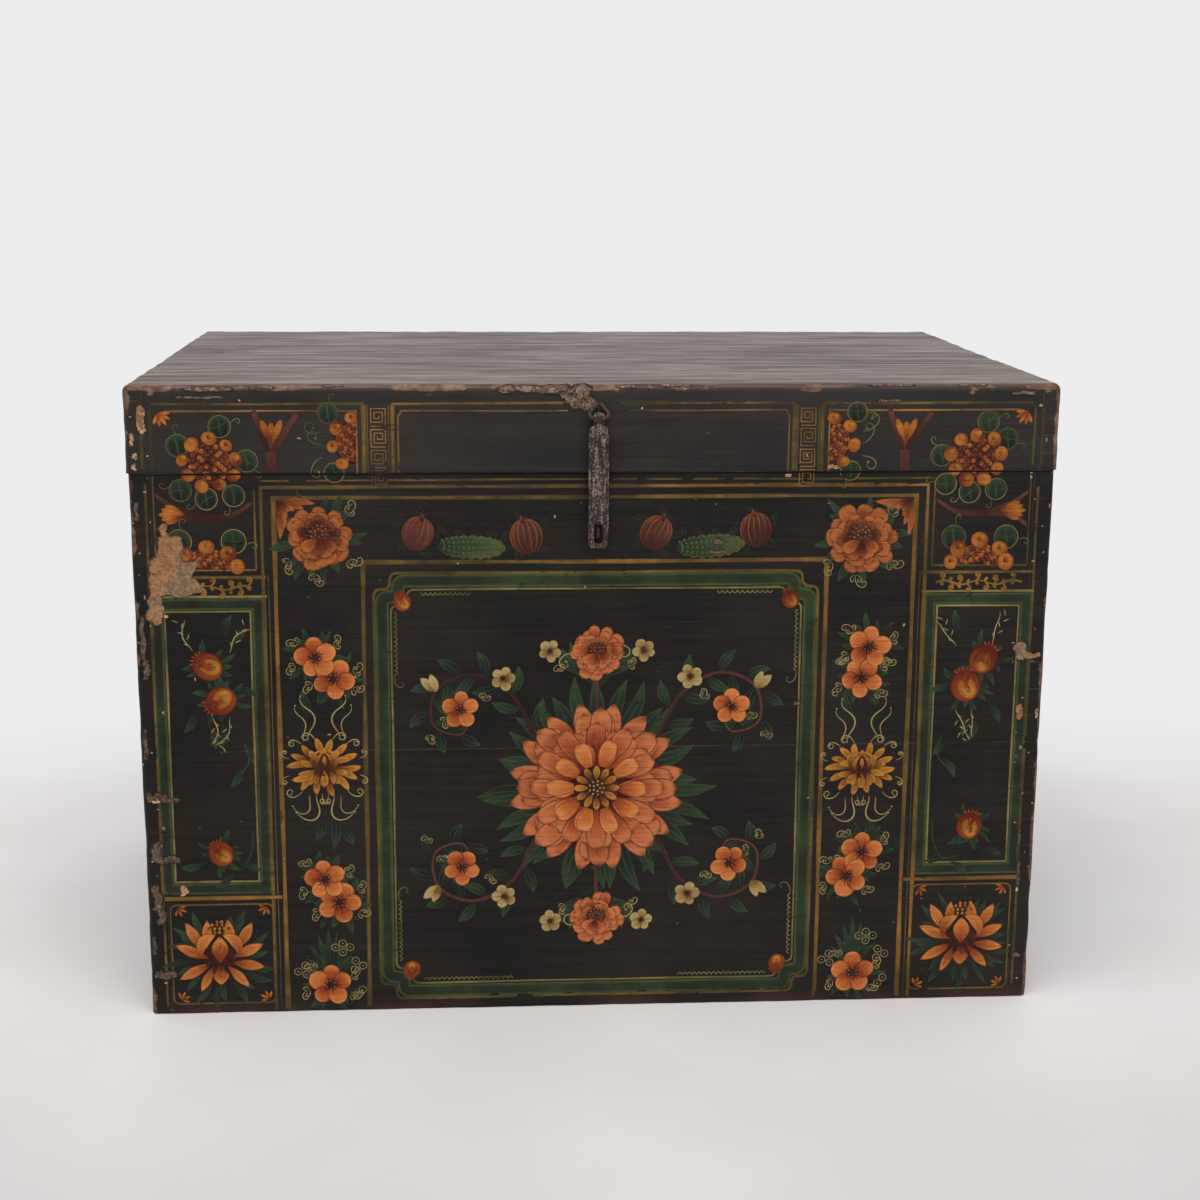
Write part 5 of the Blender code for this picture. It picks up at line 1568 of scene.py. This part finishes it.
wearPlaces = {
    # x, z, half width and half height in mm
    "clay": (
        (-390, 446, 16, 22), (-399, 428, 15, 18), (-378, 420, 14, 12), (-404, 398, 8, 14), (-396, 470, 5, 9),
        (-382, 436, 13, 12), (-398, 434, 14, 15), (-406, 409, 9, 24), (-387, 426, 14, 14),
        (402, 352, 7, 9), (413, 347, 9, 4), (404, 292, 4.5, 8),
    ),
    "smear": (
        (-352, 601, 24, 2.6), (-304, 603, 12, 3.0), (-360, 594, 24, 1.8), (-60, 601, 34, 5.0),
        (-22, 596, 15, 11), (-15, 588, 13, 9), (70, 604, 16, 2.2), (270, 604, 22, 1.8),
        (392, 597, 12, 2.4), (-240, 604, 10, 1.4), (25, 603, 10, 2), (345, 604, 14, 1.6),
    ),
    "worn": (
        (-413, 217, 10, 7), (-401, 215, 10, 3.6), (-415, 163, 9, 11), (-401, 157, 8, 5), (-417, 118, 6, 14),
        (-413, 101, 6, 10), (-411, 40, 11, 6), (-419, 372, 4, 22), (-417, 342, 5, 10), (-420, 490, 3, 9),
        (190, 303, 3.6, 3.4), (404, 247, 2.6, 3), (412, 128, 2.4, 14), (414, 44, 4, 4), (411, 165, 2, 9),
        (112, 459, 4.5, 4), (112, 449, 9, 2.2), (240, 588, 20, 1.4), (268, 590, 12, 2.2),
        (90, 588, 26, 1.0), (345, 520, 5, 2), (-421, 270, 3, 16), (-421, 70, 3, 10),
    ),
    "chipped": (
        (-412, 574, 5, 13), (-421, 556, 2.6, 6), (-419, 541, 2.4, 2.6), (-420, 531, 2.6, 3),
        (-391, 125, 4, 5), (218, 529, 6, 2.4), (176, 521, 3, 2), (-414, 214, 4, 2.2),
        (-398, 392, 3, 2), (421, 290, 1.6, 5), (417, 347, 3, 1.6),
    ),
}


def wear():
    # the places above, then small chips scattered over the front, most of them near its upright edges
    for paint, places in wearPlaces.items():
        for place in places:
            flake(paint, *place, 20 if paint in ("clay", "smear") else 9)
    draw = np.random.default_rng(41)
    for _ in range(70):
        edge = draw.random() < 0.7
        x = draw.choice((-1, 1)) * draw.uniform(402, 425) if edge else draw.uniform(-400, 400)
        size = draw.uniform(0.4, 1.2)
        z = draw.uniform(8, 596)
        flake("chipped", x, z, size * draw.uniform(0.7, 1.8), size * draw.uniform(0.7, 2.0), count=9)


paintLid()
paintRules()
paintCorners()
paintBand()
paintCentreFrame()
paintCentre()
wear()
brush.finish()
print("paint")


# Stage

stageLook = {
    "wall": (0.845, 0.845, 0.845, 1.0),
    "floor": ("dfdbd9", "e6e3e1"),
    # painted shade: a darker floor tone towards the front and the sides
    "floorShade": "bcb9b8",
    "middle": (0.0, 0.75, 0.0),         # the floor runs out into the wall's tone on an oval round this place
    "oval": (0.62, 1.0, 0.0),
    "floorFade": (1.08, 1.62),
    "size": 9.0,
    "steps": 40,
}


def floorFinish():
    # pale floor that takes the shadow near the trunk, with painted shade darkening it towards the front and
    # the sides, and runs out into the wall's tone further off
    look = stageLook
    f = Finish("studioFloor")
    place = f.place()
    sockets = {0: place, 1: look["oval"], 2: look["middle"]}
    oval = f.node("VectorMath", {"operation": "MULTIPLY_ADD"}, sockets)
    distance = f.node("VectorMath", {"operation": "LENGTH"}, {0: oval}, output="Value")
    far = f.step(distance, *look["floorFade"])
    mottle = f.noise(place, 3.0, 3.0)
    x, y, _ = f.split(place)
    # painted shade: the floor darkens towards the front and out to the sides
    near = f.step(abs(x) * 0.4 - y, 0.28, 1.15)
    base = f.mix(near, f.mix(f.step(mottle, 0.3, 0.7), *look["floor"]), look["floorShade"])
    sockets = {"Base Color": base, "Roughness": 0.8, "Specular IOR Level": 0.1}
    shader = f.node("BsdfPrincipled", sockets=sockets)
    camera, glossy, clear = f.rays()
    seen = camera.most(glossy).most(clear)
    glow = f.node("Emission", sockets={"Color": look["wall"], "Strength": 1.0})
    both = f.node("MixShader", sockets={0: far * seen, 1: shader, 2: glow})
    f.node("OutputMaterial", sockets={"Surface": both})
    return f.owner


def addFloor():
    # a flat disc: rings of growing radius round the trunk
    steps = stageLook["steps"]
    radii = np.linspace(0.02, 1.0, steps) ** 1.5 * stageLook["size"]
    turn = np.linspace(0, 2 * np.pi, 4 * steps, endpoint=False)
    r, a = np.meshgrid(radii, turn, indexing="ij")
    points = np.stack([r * np.cos(a), r * np.sin(a), np.zeros_like(r)], -1).reshape(-1, 3)
    mesh = bpy.data.meshes.new("floor")
    faces = gridFaces(steps, 4 * steps, False, True).tolist()
    mesh.from_pydata(points.tolist(), [], [list(range(4 * steps)), *faces])
    mesh.materials.append(floorFinish())
    floor = bpy.data.objects.new("floor", mesh)
    bpy.context.scene.collection.objects.link(floor)


lightLook = {
    "room": 0.42,              # level of the room before the trunk
    "wall": 0.95,              # and of the wall behind it
    "tint": (0.98, 0.985, 1.0, 1.0),
    "turn": (-0.4, 0.5),       # Y of the directions between which the one gives way to the other
    "aim": (0.0, 0.0, 0.30),
    # name: place, watts, width
    "lamps": {"keyLamp": ((-0.6, -1.6, 3.0), 70.0, 3.0), "fillLamp": ((1.8, -2.6, 2.2), 30.0, 2.4)},
}


def addWorld():
    # studio light, brighter from the wall behind, with the wall's own tone shown to the camera
    look = lightLook
    f = Finish("studio", "worlds")
    bpy.context.scene.world = f.owner
    _, y, _ = f.split(f.node("TexCoord", output="Generated"))
    start, end = look["turn"]
    sockets = {"Value": y, "From Min": start, "From Max": end, "To Min": look["room"], "To Max": look["wall"]}
    level = f.node("MapRange", sockets=sockets)
    light = f.node("Background", sockets={"Color": look["tint"], "Strength": level})
    shown = f.node("Background", sockets={"Color": stageLook["wall"]})
    toward = f.node("MapRange", sockets={"Value": y})       # 1 towards the wall, 0 towards the room
    camera, glossy, clear = f.rays()
    seen = camera.most(glossy.most(clear) * toward)
    both = f.node("MixShader", sockets={0: seen, 1: light, 2: shown})
    f.node("OutputWorld", sockets={"Surface": both})


def addLights():
    # square lamps that face the middle of the trunk
    for name, (place, watts, width) in lightLook["lamps"].items():
        lamp = bpy.data.lights.new(name, "AREA")
        lamp.energy = watts
        lamp.size = width
        made = bpy.data.objects.new(name, lamp)
        bpy.context.scene.collection.objects.link(made)
        toward = Vector(lightLook["aim"]) - Vector(place)
        made.matrix_world = Matrix.Translation(place) @ toward.to_track_quat("-Z", "Y").to_matrix().to_4x4()


cameraLook = {
    "place": (-0.1130, -2.0815, 0.8056),
    "yaw": 3.667, "pitch": 12.539, "roll": 0.333,       # degrees
    "lens": 59.6, "sensor": 36.0,                       # mm
}


def addCamera():
    # yaw turns right from +Y, pitch looks down, roll turns about the view
    look = cameraLook
    data = bpy.data.cameras.new("camera")
    data.lens = look["lens"]
    data.sensor_width = look["sensor"]
    camera = bpy.data.objects.new("camera", data)
    bpy.context.scene.collection.objects.link(camera)
    yaw, pitch, roll = [math.radians(look[key]) for key in ("yaw", "pitch", "roll")]
    turn = Matrix.Rotation(-yaw, 4, "Z") @ Matrix.Rotation(math.pi / 2 - pitch, 4, "X")
    turn = turn @ Matrix.Rotation(roll, 4, "Z")
    camera.matrix_world = Matrix.Translation(look["place"]) @ turn
    bpy.context.scene.camera = camera


addFloor()
addWorld()
addLights()
addCamera()
bpy.context.scene.view_settings.view_transform = "Standard"
print("stage")
